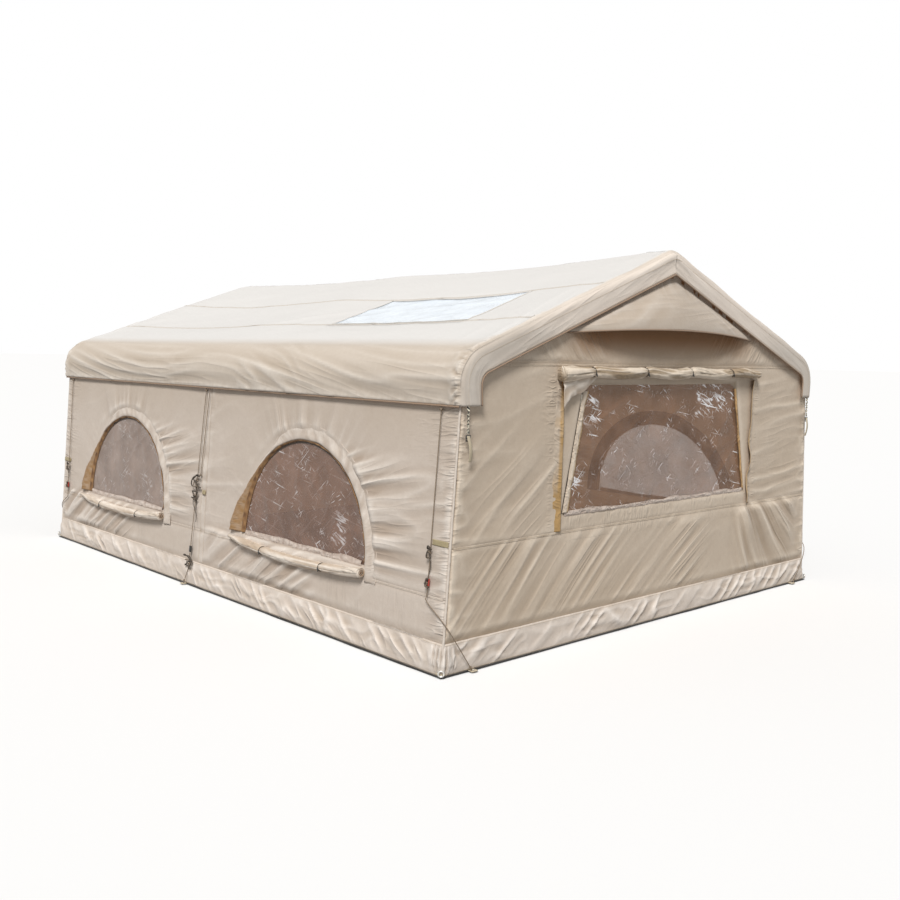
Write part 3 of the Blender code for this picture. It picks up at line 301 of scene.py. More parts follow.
# Moulded or metal finish with fine grain, uneven gloss and paler wear
def plainFinish(name, color, roughness, scale, depth, worn, **values):
    finish, tree, shader = newFinish(name, color, roughness, **values)
    place = addNode(tree, "TexCoord").outputs["Object"]
    patch = spanned(tree, noiseFrom(tree, place, scale / 8, 4.0), 0.5, 0.8)
    tree.links.new(mixColor(tree, patch, color, worn), shader.inputs["Base Color"])
    tree.links.new(spanned(tree, noiseFrom(tree, place, scale / 3), 0.3, 0.8, roughness - 0.1,
        roughness + 0.12), shader.inputs["Roughness"])
    tree.links.new(bumpOver(tree, noiseFrom(tree, place, scale), 0.3, depth), shader.inputs["Normal"])
    return finish


blackPlastic = plainFinish("black plastic", (0.022, 0.021, 0.02), 0.42, 900, 0.0003, (0.06, 0.058, 0.055))
redPlastic = plainFinish("red plastic", (0.36, 0.035, 0.022), 0.4, 900, 0.0003, (0.48, 0.08, 0.05))
zipMetal = plainFinish("zip metal", (0.3, 0.27, 0.22), 0.38, 700, 0.0002, (0.48, 0.44, 0.38),
    Metallic=0.85)
eyeletMetal = plainFinish("eyelet metal", (0.66, 0.64, 0.6), 0.32, 500, 0.0002, (0.62, 0.6, 0.56),
    Metallic=0.9)
darkTape = plainFinish("dark zip tape", (0.055, 0.04, 0.03), 0.75, 1400, 0.0003, (0.09, 0.07, 0.055))
stitchThread = plainFinish("stitch thread", (0.5, 0.4, 0.28), 0.7, 2000, 0.0002, (0.62, 0.52, 0.38))


# Laid cord: two colours of strand that wind round it
def ropeFinish(name, first, second, pitch):
    finish, tree, shader = newFinish(name, first, 0.8)
    place = addNode(tree, "TexCoord").outputs["UV"]
    spin = addNode(tree, "Mapping", Rotation=(0.0, 0.0, math.radians(38)))
    tree.links.new(place, spin.inputs["Vector"])
    wave = addNode(tree, "TexWave", wave_type="BANDS", bands_direction="X", Scale=math.pi / 10 / pitch,
        Distortion=0.6)
    tree.links.new(spin.outputs["Vector"], wave.inputs["Vector"])
    strand = wave.outputs["Fac"]
    tree.links.new(mixColor(tree, spanned(tree, strand, 0.35, 0.6), first, second),
        shader.inputs["Base Color"])
    tree.links.new(bumpOver(tree, strand, 0.8, 0.0008), shader.inputs["Normal"])
    return finish


guyRope = ropeFinish("guy rope", (0.15, 0.105, 0.07), (0.33, 0.26, 0.19), 0.0045)
tieCord = ropeFinish("tie cord", (0.045, 0.035, 0.028), (0.1, 0.08, 0.06), 0.003)
groundCloth = clothFinish("ground cloth", (0.03, 0.028, 0.026), (0.055, 0.052, 0.048),
    (0.014, 0.013, 0.012), roughness=0.5, pitch=0.004)
print("finishes made")


lattice = np.random.RandomState(11).rand(128, 128) * 2.0 - 1.0


# Smooth noise between -1 and 1, the same each run
def grain(a, b):
    a, b = np.broadcast_arrays(a, b)
    i = np.floor(a).astype(int)
    j = np.floor(b).astype(int)
    s = a - i
    t = b - j
    s = s * s * s * (s * (s * 6 - 15) + 10)
    t = t * t * t * (t * (t * 6 - 15) + 10)
    low = lattice[i % 128, j % 128] * (1 - s) + lattice[(i + 1) % 128, j % 128] * s
    high = lattice[i % 128, (j + 1) % 128] * (1 - s) + lattice[(i + 1) % 128, (j + 1) % 128] * s
    return low * (1 - t) + high * t


def ease(x):
    x = np.clip(x, 0.0, 1.0)
    return x * x * (3.0 - 2.0 * x)


def within(x, low, high, soft):
    return ease((x - low) / soft + 0.5) * ease((high - x) / soft + 0.5)


def crest(n, sharp=2.0):
    return (1.0 - np.abs(n)) ** sharp


# How far a point lies across a turned direction, and how far along it
def turned(u, v, turn):
    return v * np.cos(turn) - u * np.sin(turn), u * np.cos(turn) + v * np.sin(turn)


# Long soft folds that run along a turned direction
def folds(u, v, turn, width, length, seed, bend=0.6):
    across, along = turned(u, v, turn)
    across = across + bend * width * grain(along / length * 1.3 + seed, across / length + 3.1)
    return grain(across / width + seed * 7.31, along / length + seed * 3.77)


# Short puckers that stand square to a seam and die away from it
def gathers(distance, along, pitch, reach, seed):
    wave = crest(grain(along / pitch * 0.8 + seed, distance / reach * 0.5 + seed), 1.6)
    return wave * ease(distance / (0.25 * reach) + 0.25) * np.exp(-np.abs(distance) / reach)


def pleatMarks(across, along, depth):
    return {"pleatAcross": across, "pleatAlong": along, "pleatDepth": depth}


# Marks for the finish's narrow pleats: the deepest family of each spot, less the next one
def finest(*families):
    shape = families[0][2].shape
    across, along, depth = (np.stack([np.broadcast_to(row, shape) for row in rows])
        for rows in zip(*families))
    order = np.argsort(depth, axis=0)
    best, second = (np.take_along_axis(depth, order[k:][:1], 0)[0] for k in (-1, -2))
    return pleatMarks(np.take_along_axis(across, order[-1:], 0)[0],
        np.take_along_axis(along, order[-1:], 0)[0], best - second)


# Box average over the grid, to tell crests from valleys
def softened(values, reach):
    for axis in (0, 1):
        size = values.shape[axis]
        count = min(reach, size - 1)
        pad = [(0, 0), (0, 0)]
        pad[axis] = (count + 1, count)
        total = np.cumsum(np.pad(values, pad, mode="edge"), axis=axis)
        upper = np.take(total, range(2 * count + 1, 2 * count + 1 + size), axis=axis)
        values = (upper - np.take(total, range(size), axis=axis)) / (2 * count + 1)
    return values


def insideLoop(u, v, loop):
    inside = np.zeros(u.shape, bool)
    for (u0, v0), (u1, v1) in zip(loop, np.roll(loop, -1, axis=0)):
        if v0 != v1:
            inside ^= ((v0 > v) != (v1 > v)) & (u < (u1 - u0) * (v - v0) / (v1 - v0) + u0)
    return inside


# Moves the chosen points on to the nearest point of the loops
def snapToLoops(u, v, loops, chosen):
    pu, pv = u[chosen], v[chosen]
    best = np.full(pu.shape, np.inf)
    for loop in loops:
        for (u0, v0), (u1, v1) in zip(loop, np.roll(loop, -1, axis=0)):
            du, dv = u1 - u0, v1 - v0
            size = du * du + dv * dv
            if size < 1e-12:
                continue
            t = np.clip(((pu - u0) * du + (pv - v0) * dv) / size, 0.0, 1.0)
            nu, nv = u0 + t * du, v0 + t * dv
            away = (nu - pu) ** 2 + (nv - pv) ** 2
            nearer = away < best
            best = np.where(nearer, away, best)
            u[chosen] = np.where(nearer, nu, u[chosen])
            v[chosen] = np.where(nearer, nv, v[chosen])


def spread(low, high, step):
    return np.linspace(low, high, max(2, int(round((high - low) / step)) + 1))


def gridOf(rows, columns):
    return np.meshgrid(rows, columns, indexing="ij")


def betweenFaces(values):
    return (values[1:, 1:] + values[:-1, :-1]) / 2


def travelled(path):
    gaps = np.linalg.norm(np.diff(path, axis=0), axis=-1)
    return np.concatenate((np.zeros_like(gaps[:1]), np.cumsum(gaps, axis=0)))


def unitRows(rows):
    return rows / np.linalg.norm(rows, axis=-1)[..., None]


def settle(piece, nodes=(), body="tent"):
    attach(piece, body)
    if nodes:
        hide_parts(*nodes)
    return piece


def makeMesh(name, co, quads, uv, finishes, attributes, caps=()):
    mesh = bpy.data.meshes.new(name)
    corners = np.concatenate([quads.ravel(), *caps]).astype(np.int32)
    sizes = [4] * len(quads) + [len(cap) for cap in caps]
    mesh.vertices.add(len(co))
    mesh.vertices.foreach_set("co", np.asarray(co, np.float32).ravel())
    mesh.loops.add(len(corners))
    mesh.loops.foreach_set("vertex_index", corners)
    mesh.polygons.add(len(sizes))
    mesh.polygons.foreach_set("loop_start", np.cumsum([0] + sizes[:-1], dtype=np.int32))
    mesh.update(calc_edges=True)
    mesh.shade_smooth()
    layer = mesh.uv_layers.new(name="cloth")
    layer.data.foreach_set("uv", np.asarray(uv, np.float32)[corners].ravel())
    for key, values in attributes.items():
        layer = mesh.attributes.new(key, "FLOAT", "POINT")
        layer.data.foreach_set("value", np.asarray(values, np.float32))
    for finish in finishes:
        mesh.materials.append(finish)
    piece = bpy.data.objects.new(name, mesh)
    bpy.context.collection.objects.link(piece)
    return piece


# Cloth from a grid of points, thickened inwards, its valleys and crests marked for its finish's painted
# shade and highlight
def gridPiece(name, points, finishes, nodes=(), body="tent", keep=None, uv=None, lift=None,
        thickness=0.0, flip=False, tintAndPaintedLight=None, extra=None, foldSize=0.0035):
    rows, columns = points.shape[:2]
    index = np.arange(rows * columns).reshape(rows, columns)
    quads = np.stack((index[:-1, :-1], index[1:, :-1], index[1:, 1:], index[:-1, 1:]), -1)
    quads = quads.reshape(-1, 4) if keep is None else quads[keep]
    used, quads = np.unique(quads[:, ::-1] if flip else quads, return_inverse=True)
    marks = {}
    if lift is not None:
        marks["fold"] = np.clip((lift - softened(lift, 5)) / foldSize, -1.0, 1.0)
    if tintAndPaintedLight is not None:
        marks["tintAndPaintedLight"] = np.clip(tintAndPaintedLight, 0.0, 1.0)
    marks.update(extra or {})
    marks = {key: np.broadcast_to(value, (rows, columns)).ravel()[used] for key, value in marks.items()}
    if uv is None:
        uv = np.stack((travelled(points), travelled(points.transpose(1, 0, 2)).T), -1)
    piece = makeMesh(name, points.reshape(-1, 3)[used], quads.reshape(-1, 4), uv.reshape(-1, 2)[used],
        finishes, marks)
    if thickness > 0.0:
        shell = piece.modifiers.new("cloth", "SOLIDIFY")
        shell.thickness = thickness
        shell.offset = -1.0
        shell.use_even_offset = False
        shell.material_offset = len(finishes) - 1
    return settle(piece, nodes, body)


def onPlane(place, u, v, out):
    u, v, out = np.broadcast_arrays(u, v, out)
    return (np.stack((u, v, out, np.ones_like(u)), -1) @ np.array(place).T)[..., :3]


# Flat cut of cloth with its holes, raised from its place by the lift's rule
def clothPanel(name, nodes, outline, holes, place, lift, step, finishes, thickness=0.0,
        tintAndPaintedLight=None, extra=None, pleats=None, body="tent"):
    outline = np.asarray(outline, float)
    u, v = gridOf(*(spread(row.min(), row.max(), step) for row in outline.T))
    mu = betweenFaces(u)
    mv = betweenFaces(v)
    keep = insideLoop(mu, mv, outline)
    for hole in holes:
        keep &= ~insideLoop(mu, mv, hole)
    touched = sum(np.pad(keep.astype(int), ((i, 1 - i), (j, 1 - j))) for i in (0, 1) for j in (0, 1))
    snapToLoops(u, v, [outline, *holes], (touched > 0) & (touched < 4))
    raised = lift(u, v)
    marks = {key: rule(u, v) for key, rule in (extra or {}).items()}
    if pleats is not None:
        marks.update(pleats(u, v))
    return gridPiece(name, onPlane(place, u, v, raised), finishes, nodes, body, keep,
        np.stack((u, v), -1), raised, thickness, tintAndPaintedLight=None if tintAndPaintedLight is None else tintAndPaintedLight(u, v), extra=marks)


def planeTurn(across, up):
    return Matrix((across, up, across.cross(up))).transposed().to_4x4()


def wallPlace(side):
    turn = planeTurn(Vector((-side, 0.0, 0.0)),
        Vector((0.0, -side * math.sin(leanAngle), math.cos(leanAngle))))
    return Matrix.Translation((0.0, side * house["footHalfWidth"], 0.0)) @ turn


def gablePlace(end):
    turn = planeTurn(Vector((0.0, end, 0.0)), Vector((0.0, 0.0, 1.0)))
    return Matrix.Translation((end * house["halfLength"], 0.0, 0.0)) @ turn


def alongWall(height):
    return height / math.cos(leanAngle)


sill = alongWall(window["sill"])
bothSides = ((-1.0, "near"), (1.0, "far"))
bothEnds = ((1.0, "front"), (-1.0, "rear"))
houseFeet = [(side, end, f"{sideName}_{endName}") for side, sideName in bothSides
    for end, endName in bothEnds]


def arcOf(centre, radius, start, end, steps):
    turns = np.linspace(start, end, steps + 1)
    return np.stack((centre[0] + radius * np.cos(turns), centre[1] + radius * np.sin(turns)), -1)


def ringOf(steps, radius=1.0):
    turns = np.linspace(0.0, 2 * math.pi, steps, endpoint=False)
    return turns, radius * np.cos(turns), radius * np.sin(turns)


# Turn that lays a ring square to a direction
def turnTo(along):
    return np.array(Vector((0, 0, 1)).rotation_difference(Vector(along)).to_matrix()).T


# Tube along a path with a radius for each station, with its own UV in metres
def sweep(name, path, radius, finish, ring=12, nodes=(), closed=False, lift=None, marks=None):
    path = np.asarray(path, float)
    count = len(path)
    ahead = np.gradient(path, axis=0)
    if closed:
        ahead = np.roll(path, -1, axis=0) - np.roll(path, 1, axis=0)
    ahead = unitRows(ahead)
    start = (0.0, 0.0, 1.0) if abs(ahead[0][2]) < 0.9 else (1.0, 0.0, 0.0)
    sides = [unitRows(np.cross(ahead[0], start))]
    for i in range(1, count):
        sides.append(unitRows(sides[-1] - ahead[i] * np.dot(sides[-1], ahead[i])))
    sides = np.array(sides)
    turns, c, s = ringOf(ring)
    length = travelled(path)
    reach = np.broadcast_to(radius, (count,))[:, None] * np.ones((count, ring))
    attributes = {}
    if lift is not None:
        raised = lift(*gridOf(length, turns))
        reach = reach + raised
        attributes["fold"] = np.clip(raised / 0.002, -1, 1).ravel()
    if marks is not None:
        attributes.update({key: value.ravel() for key, value in marks(*gridOf(length, turns)).items()})
    ups = np.cross(sides, ahead)[:, None]
    co = path[:, None] + reach[..., None] * (c[:, None] * sides[:, None] + s[:, None] * ups)
    index = np.arange(count * ring).reshape(count, ring)
    following = np.roll(index, -1, axis=1)
    last = count if closed else count - 1
    quads = np.stack((index[:last], following[:last], np.roll(following, -1, axis=0)[:last],
        np.roll(index, -1, axis=0)[:last]), -1).reshape(-1, 4)
    uv = np.stack((np.repeat(length, ring), np.tile(turns, count) * float(np.mean(reach))), -1)
    caps = () if closed else (index[0][::-1], index[-1])
    return settle(makeMesh(name, co.reshape(-1, 3), quads, uv, [finish], attributes, caps),
        nodes)


# Geometry tree whose sizes stand as named inputs on the modifier
def newTree(name, sizes):
    tree = bpy.data.node_groups.new(name, "GeometryNodeTree")
    for way in ("INPUT", "OUTPUT"):
        tree.interface.new_socket("Geometry", in_out=way, socket_type="NodeSocketGeometry")
    for key, value in sizes.items():
        kind = "NodeSocketInt" if isinstance(value, int) else "NodeSocketFloat"
        socket = tree.interface.new_socket(key, in_out="INPUT", socket_type=kind)
        socket.default_value = value
    tree.interface.new_socket("Finish", in_out="INPUT", socket_type="NodeSocketMaterial")
    return tree, tree.nodes.new("NodeGroupInput"), tree.nodes.new("NodeGroupOutput")


def addTool(tree, kind, mode=None, **values):
    made = tree.nodes.new("GeometryNode" + kind)
    if mode:
        made.mode = mode
    for key, value in values.items():
        if isinstance(value, bpy.types.NodeSocket):
            tree.links.new(value, made.inputs[key])
        else:
            made.inputs[key].default_value = value
    return made


def finishTree(tree, geometry, source, sink):
    real = addTool(tree, "RealizeInstances", Geometry=geometry)
    painted = addTool(tree, "SetMaterial", Geometry=real.outputs["Geometry"],
        Material=source.outputs["Finish"])
    tree.links.new(painted.outputs["Geometry"], sink.inputs["Geometry"])


# Piece that the tree grows from some lines of points
def grown(name, slotName, tree, lines, finish, nodes=(), body="tent", **sizes):
    starts = np.cumsum([0] + [len(line) for line in lines])
    edges = [(start + i, start + i + 1) for start, line in zip(starts, lines)
        for i in range(len(line) - 1)]
    mesh = bpy.data.meshes.new(name)
    mesh.from_pydata(np.vstack(lines).tolist(), edges, [])
    piece = bpy.data.objects.new(name, mesh)
    bpy.context.collection.objects.link(piece)
    grower = piece.modifiers.new("grower", "NODES")
    grower.node_group = tree
    values = {**sizes, "Finish": finish}
    for item in tree.interface.items_tree:
        if item.in_out == "INPUT" and item.name in values:
            grower[item.identifier] = values[item.name]
    evaluated = piece.evaluated_get(bpy.context.evaluated_depsgraph_get())
    made = bpy.data.meshes.new_from_object(evaluated)
    piece.modifiers.remove(grower)
    piece.data = made
    return settle(piece, nodes, body)


# Small rods set along lines: stitches when long and thin, zip teeth when short and wide
def rodTree():
    tree, source, sink = newTree("rods along lines", {"Pitch": 0.006, "Radius": 0.0006, "Length": 0.004,
        "Sides": 5})
    curve = addTool(tree, "MeshToCurve", Mesh=source.outputs["Geometry"])
    even = addTool(tree, "ResampleCurve", mode="LENGTH", Curve=curve.outputs["Curve"],
        Length=source.outputs["Pitch"])
    rod = addTool(tree, "MeshCylinder", Vertices=source.outputs["Sides"],
        Radius=source.outputs["Radius"], Depth=source.outputs["Length"])
    tangent = tree.nodes.new("GeometryNodeInputTangent")
    turn = tree.nodes.new("FunctionNodeAlignRotationToVector")
    turn.axis = "Z"
    tree.links.new(tangent.outputs["Tangent"], turn.inputs["Vector"])
    placed = addTool(tree, "InstanceOnPoints", Points=even.outputs["Curve"],
        Instance=rod.outputs["Mesh"], Rotation=turn.outputs["Rotation"])
    finishTree(tree, placed.outputs["Instances"], source, sink)
    return tree


rods = rodTree()
zipCoil = {"Pitch": 0.003, "Radius": 0.0031, "Length": 0.0016, "Sides": 7}
ropes = {"radius": 0.0025, "standoff": 0.02, "inset": 0.11, "drift": 0.01, "bend": 0.35, "turn": 0.24,
    "ease": 0.04, "footY": 1.545, "reach": 0.036, "tuck": 0.012, "middleTop": -0.06, "middleLow": -0.16,
    "middleFoot": -0.195, "middleBend": 0.12, "points": 66, "cornerLength": 1.408, "middleLength": 1.3,
    "twinFoot": 0.73, "twinGap": 0.046}


# Straight stretch of a rope down the wall, from the hem to its bend, between two places along the wall
def straightStretch(start, end, low):
    hem = house["hemHeight"]
    top = hem - 0.0004 - ropes["radius"] * house["lean"]
    heights = [top + (low + ropes["ease"] - top) * i / 5 for i in range(6)] + [low]
    return [Vector((start + (end - start) * (hem - height) / (hem - low),
        -wallReach(height) - ropes["standoff"], height)) for height in heights]


def smoothRoute(route, count):
    ends = [route[0] * 2 - route[1]] + route + [route[-1] * 2 - route[-2]]
    fine = []
    for i in range(1, len(ends) - 2):
        p0, p1, p2, p3 = ends[i - 1:i + 3]
        for step in range(12):
            t = step / 12
            curve = p0 * -1 + p1 * 3 - p2 * 3 + p3
            fall = p0 * 2 - p1 * 5 + p2 * 4 - p3
            fine.append((p1 * 2 + (p2 - p0) * t + fall * t * t + curve * t ** 3) / 2)
    fine = np.array(fine + [route[-1]])
    length = travelled(fine)
    wanted = np.linspace(0.0, length[-1], count + 1)
    return np.stack([np.interp(wanted, length, row) for row in fine.T], -1)


def ropeRoutes():
    rest = floorTop + 2 * ropes["radius"]
    x = house["halfLength"] - ropes["inset"]
    corner = straightStretch(x, x - ropes["drift"], ropes["bend"])
    corner += [Vector((house["halfLength"] + ropes["standoff"], -wallReach(ropes["turn"]),
        ropes["turn"])), Vector((house["halfLength"] + ropes["reach"], -ropes["footY"] - ropes["tuck"],
        rest))]
    middle = straightStretch(ropes["middleTop"], ropes["middleLow"], ropes["middleBend"])
    middle.append(Vector((ropes["middleFoot"] + ropes["tuck"], -house["footHalfWidth"] - ropes["reach"],
        rest)))
    return smoothRoute(corner, ropes["points"]), smoothRoute(middle, ropes["points"])


# Small overhand knot: a trefoil of cord pulled tight
def knotAt(name, place, size, along=(0.0, 0.0, 1.0)):
    turns, c, s = ringOf(40)
    loop = np.stack((s + 2 * np.sin(2 * turns), c - 2 * np.cos(2 * turns), -1.6 * np.sin(3 * turns)), -1)
    return sweep(name, loop * size / 3 @ turnTo(along) + np.array(place), size * 0.34,
        guyRope, 8, closed=True)


# Hank of cord bunched round a rope at a height, and a tail that hangs from it
def makeHank(name, path, height, size, tall, seed, tail):
    swing = 2 * math.pi * np.linspace(0.0, 1.0, 90)[:-1]
    centre = path[np.argmin(np.abs(path[:, 2] - height))]
    out = np.sign(path[0, 1])
    loop = np.stack((size * np.sin(2 * swing + seed), (0.01 + 0.005 * np.cos(3 * swing)) * out,
        tall * np.cos(swing + 0.4 * np.sin(3 * swing + seed))), -1)
    inner = loop * (0.6, 1.15, 0.6) + (0.004, 0.0, -tall * 0.4)
    made = [sweep(name + "_loop", centre + loop, 0.004, tieCord, 7, closed=True),
        sweep(name + "_bight", centre + inner, 0.0021, guyRope, 7, closed=True)]
    if tail:
        fall = np.linspace(0.0, 1.0, 40)
        hang = np.stack((0.012 * np.sin(5 * fall + seed) + 0.012 * fall,
            (0.01 + 0.006 * np.sin(7 * fall)) * out, -tail * fall), -1)
        made.append(sweep(name + "_tail", centre + hang, 0.0019, tieCord, 7))
    return made


# Height, size, tallness, seed and tail of each hank
hanks = {"corner": ((0.592, 0.013, 0.03, 0.0, 0.13), (0.445, 0.01, 0.022, 2.0, 0.0)),
    "middle": ((0.7, 0.052, 0.042, 1.0, 0.19), (0.585, 0.03, 0.03, 3.0, 0.17),
    (0.17, 0.046, 0.036, 5.0, 0.06))}


def layRope(name, path, bunches):
    rope = sweep("guy_rope_line_" + name, path, ropes["radius"], guyRope, 8,
        ["guy_rope_" + name])
    knots = [knotAt(f"guy_rope_{where}_knot_{name}", path[at], size, path[at + 1] - path[at])
        for where, at, size in (("top", 1, 0.0078), ("foot", -2, 0.006))]
    for k, bunch in enumerate(bunches):
        knots += makeHank(f"cord_hank_{name}_{k}", path, *bunch)


def makeRopes():
    corner, middle = ropeRoutes()
    for side, sideName in bothSides:
        for end, endName in bothEnds:
            layRope(f"{sideName}_{endName}", corner * (end, -side, 1.0),
                hanks["corner"])
        path = middle * (1.0, -side, 1.0)
        layRope(f"{sideName}_middle", path, hanks["middle"])
        high = path[path[:, 2] > ropes["twinFoot"]]
        drift = np.linspace(ropes["twinGap"], 0.8 * ropes["twinGap"], len(high))[:, None]
        twin = high + drift * (1.0, 0.0, 0.0)
        rope = sweep(f"guy_rope_twin_{sideName}", twin, ropes["radius"], guyRope, 8)
        knot = knotAt(f"guy_rope_twin_knot_{sideName}", twin[-1], 0.0062)


makeRopes()
print("guy ropes made")


stitchLines = {}


def sewAlong(points, key="tent"):
    stitchLines.setdefault(key, []).append(np.asarray(points, float))


# Flat tape or lapped seam sewn over a panel, with a row of stitches near each edge
def sewnTape(name, place, start, end, half, lift, finish, rise=0.0016, pucker=0.001):
    start = np.array(start)
    run = np.array(end) - start
    length = np.linalg.norm(run)
    ahead = run / length
    stations = np.linspace(0.0, 1.0, int(length / 0.012) + 2)[:, None]
    offsets = np.array((-1.0, -0.86, -0.5, 0.0, 0.5, 0.86, 1.0)) * half
    u = start[0] + run[0] * stations - ahead[1] * offsets
    v = start[1] + run[1] * stations + ahead[0] * offsets
    small = pucker * grain(stations * length / 0.02 + half * 90, offsets / half + 3.0)
    edge = np.array((0.25, 1.0, 1.0, 1.0, 1.0, 1.0, 0.25))
    out = lift(u, v) + rise * edge + np.abs(small)
    gridPiece(name, onPlane(place, u, v, out), [finish], lift=out, foldSize=0.002,
        flip=True)
    for column in ((1, 5) if half > 0.01 else (3,)):
        sewAlong(onPlane(place, u[:, column], v[:, column], out[:, column] + 0.0004))


# Rolled seam allowance that closes a corner of the house
def makeCornerWelt(name, place, u):
    vs = np.linspace(0.1, alongWall(house["wallHeight"]) - 0.004, 150)
    sweep(name, onPlane(place, u, vs, 0.0005), 0.0052, wallCanvas, 10, lift=lambda s,
        t: 0.0016 * crest(grain(s / 0.035 + u, t * 1.2), 1.5))


longWall = {"nearStep": 0.0087, "farStep": 0.018, "billow": 0.004, "crumple": 0.0016, "thickness": 0.004,
    "cornerGather": 0.009, "seamHeight": 0.372, "skirtTop": 0.162, "middleSeam": -0.04}


# A window's families of folds, each with its distance across, its distance along and its strength:
# rays that fan out of the placket, nearly level pulls on the right, slanting folds under the sill
def windowFolds(u, v, middle, seed):
    du = u - middle
    dv = v - sill
    far = np.hypot(du, dv)
    turn = np.arctan2(dv, du)
    run = np.clip(far - window["placket"], 0.0, None)
    outside = ease((far - 0.66) / 0.05)
    right = ease((1.15 - turn) / 0.7)
    strong = 0.1 + 0.25 * right + 0.5 * within(turn, 1.15, 2.05, 0.4)
    reach = 0.09 + 0.1 * right + 0.06 * grain(turn * 5 + seed, 0.0)
    rays = strong * np.exp(-run / reach) * ease((dv + 0.06) / 0.1) * outside
    pulls = within(dv, 0.0, 0.56, 0.16) * ease((du - 0.15) / 0.3) * outside * np.exp(-run / 0.42)
    under = within(du, -1.0, 0.1, 0.3) * within(v, 0.16, 0.405, 0.04)
    return ((turn, run, rays), (1.6 * np.arctan2(dv, du + 1.1), run, pulls), (*turned(u, v, 0.6), under))


# Height, width, length and start of each family's broad folds, then of its narrow pleats
windowBroad = ((0.017, 1 / 10.5, 0.9, 2.7), (0.0175, 0.06, 0.7, 1.7), (0.021, 0.078, 0.9, 1.0))
windowNarrow = ((0.0066, 1 / 21.0, 0.45, 9), (0.0062, 0.036, 0.4, 4), (0.0062, 0.056, 0.6, 5))


# How far a long wall's cloth stands out, with u along it from its left end
def wallLift(u, v, mirror, seed):
    w = longWall
    lift = w["billow"] * (1.0 + grain(u / 0.8 + seed, v / 0.6))
    lift = lift + w["crumple"] * crest(folds(u, v, 0.5, 0.18, 0.5, seed + 1.3), 1.5)
    for k, middle in enumerate(window["middles"]):
        for (high, width, length, start), (across, along, weight) in zip(windowBroad,
                windowFolds(u, v, middle * mirror, seed)):
            wave = crest(grain(across / width + seed + start * k, along / length), 1.8)
            lift = lift + high * weight * wave
    corner = house["halfLength"] - np.abs(u)
    lift = lift + w["cornerGather"] * gathers(corner, v, 0.052, 0.075, seed)
    seam = np.abs(u * mirror - w["middleSeam"])
    lift = lift + 0.004 * gathers(seam - 0.03, v, 0.06, 0.05, seed + 5) * ease((seam - 0.028) / 0.01)
    lift = lift - 0.003 * np.exp(-(np.abs(v - w["seamHeight"]) / 0.012) ** 2)
    edges = ease(corner / 0.012) * ease((v - 0.16) / 0.05)
    hole = np.minimum(*[np.hypot(u - m * mirror, v - window["sill"]) for m in window["middles"]])
    rim = ease((hole - window["radius"]) / 0.03)
    return lift * edges * np.maximum(rim, ease((window["sill"] - v) / 0.02))


def wallPleats(u, v, mirror, seed):
    families = []
    for k, middle in enumerate(window["middles"]):
        for (high, width, length, start), (across, along, weight) in zip(windowNarrow,
                windowFolds(u, v, middle * mirror, seed)):
            families.append((across / width + start * k, along / length, high * weight))
        near = u - middle * mirror
        low = within(near, 0.2, 1.15, 0.2) * within(v, 0.16, 0.37, 0.03)
        families.append((u / 0.02 + k, v / 0.3, 0.0022 * low))
        foot = np.hypot(near - 0.68, v - 0.36)
        families.append((np.arctan2(v - 0.36, near - 0.68) * 7.0, foot / 0.2,
            0.004 * np.exp(-foot / 0.11) * within(v, 0.16, 0.4, 0.04)))
    corner = house["halfLength"] - np.abs(u)
    families.append((v / 0.026 + 3 + corner / 0.3, corner / 0.14, 0.0064 * np.exp(-corner / 0.12)))
    seam = np.abs(u * mirror - longWall["middleSeam"]) - 0.028
    families.append((v / 0.028 + 6, seam / 0.1, 0.0016 * np.exp(-np.abs(seam) / 0.05)))
    for height, depth in ((longWall["seamHeight"], 0.002), (longWall["skirtTop"], 0.002),
            (alongWall(house["hemHeight"]), 0.0016)):
        away = np.abs(v - height)
        families.append((u / 0.022 + height, away / 0.05, depth * np.exp(-away / 0.028)))
    return finest(*families)


def muddy(u, v):
    return (0.55 * ease((0.3 - v) / 0.3) * (0.6 + 0.4 * grain(u / 0.12, v / 0.06))
        + 0.1 * ease(grain(u / 0.35 + 5, v / 0.3) * 1.5))


# Soil near the ground, and the shade under the eave
def underEave(u, v):
    return muddy(u, v) + 0.26 * ease((v - 0.95) / 0.35)


def makeLongWalls():
    low = alongWall(floorTop)
    high = alongWall(house["wallHeight"])
    half = house["halfLength"]
    for side, name, step, seed in ((-1.0, "near", longWall["nearStep"], 0.0),
            (1.0, "far", longWall["farStep"], 31.0)):
        place = wallPlace(side)
        holes = [arcOf((-side * middle, sill), window["radius"], 0.0, math.pi, 64)
            for middle in window["middles"]]

        def lift(u, v):
            return wallLift(u, v, -side, seed)

        def pleats(u, v):
            return wallPleats(u, v, -side, seed)

        seam = -side * longWall["middleSeam"]
        for bay, start, end in (("left", -half, seam), ("right", seam, half)):
            outline = [(start, low), (end, low), (end, high), (start, high)]
            wall = clothPanel(f"wall_{name}_cloth_{bay}", ["wall_" + name], outline,
                holes, place, lift, step, [wallCanvas, glowingLining], longWall["thickness"], underEave,
                pleats=pleats)
        sewnTape(f"wall_{name}_middle_seam", place, (seam, 0.165), (seam, 1.325), 0.028, lift, wallCanvas)
        height = longWall["seamHeight"]
        for bay, start, end in (("left", -half + 0.02, seam - 0.03), ("right", seam + 0.03, half - 0.02)):
            sewnTape(f"wall_{name}_low_seam_{bay}", place, (start, height), (end, height), 0.006, lift,
                wallCanvas)
        for end, endName in ((-half, "left"), (half, "right")):
            makeCornerWelt(f"wall_{name}_welt_{endName}", place, end)
        for bay, middle, shift in zip(("front", "rear"), window["middles"], (0.0, 7.0)):
            makeWallWindow(side, f"{name}_{bay}", bay, -side * middle, seed + shift)


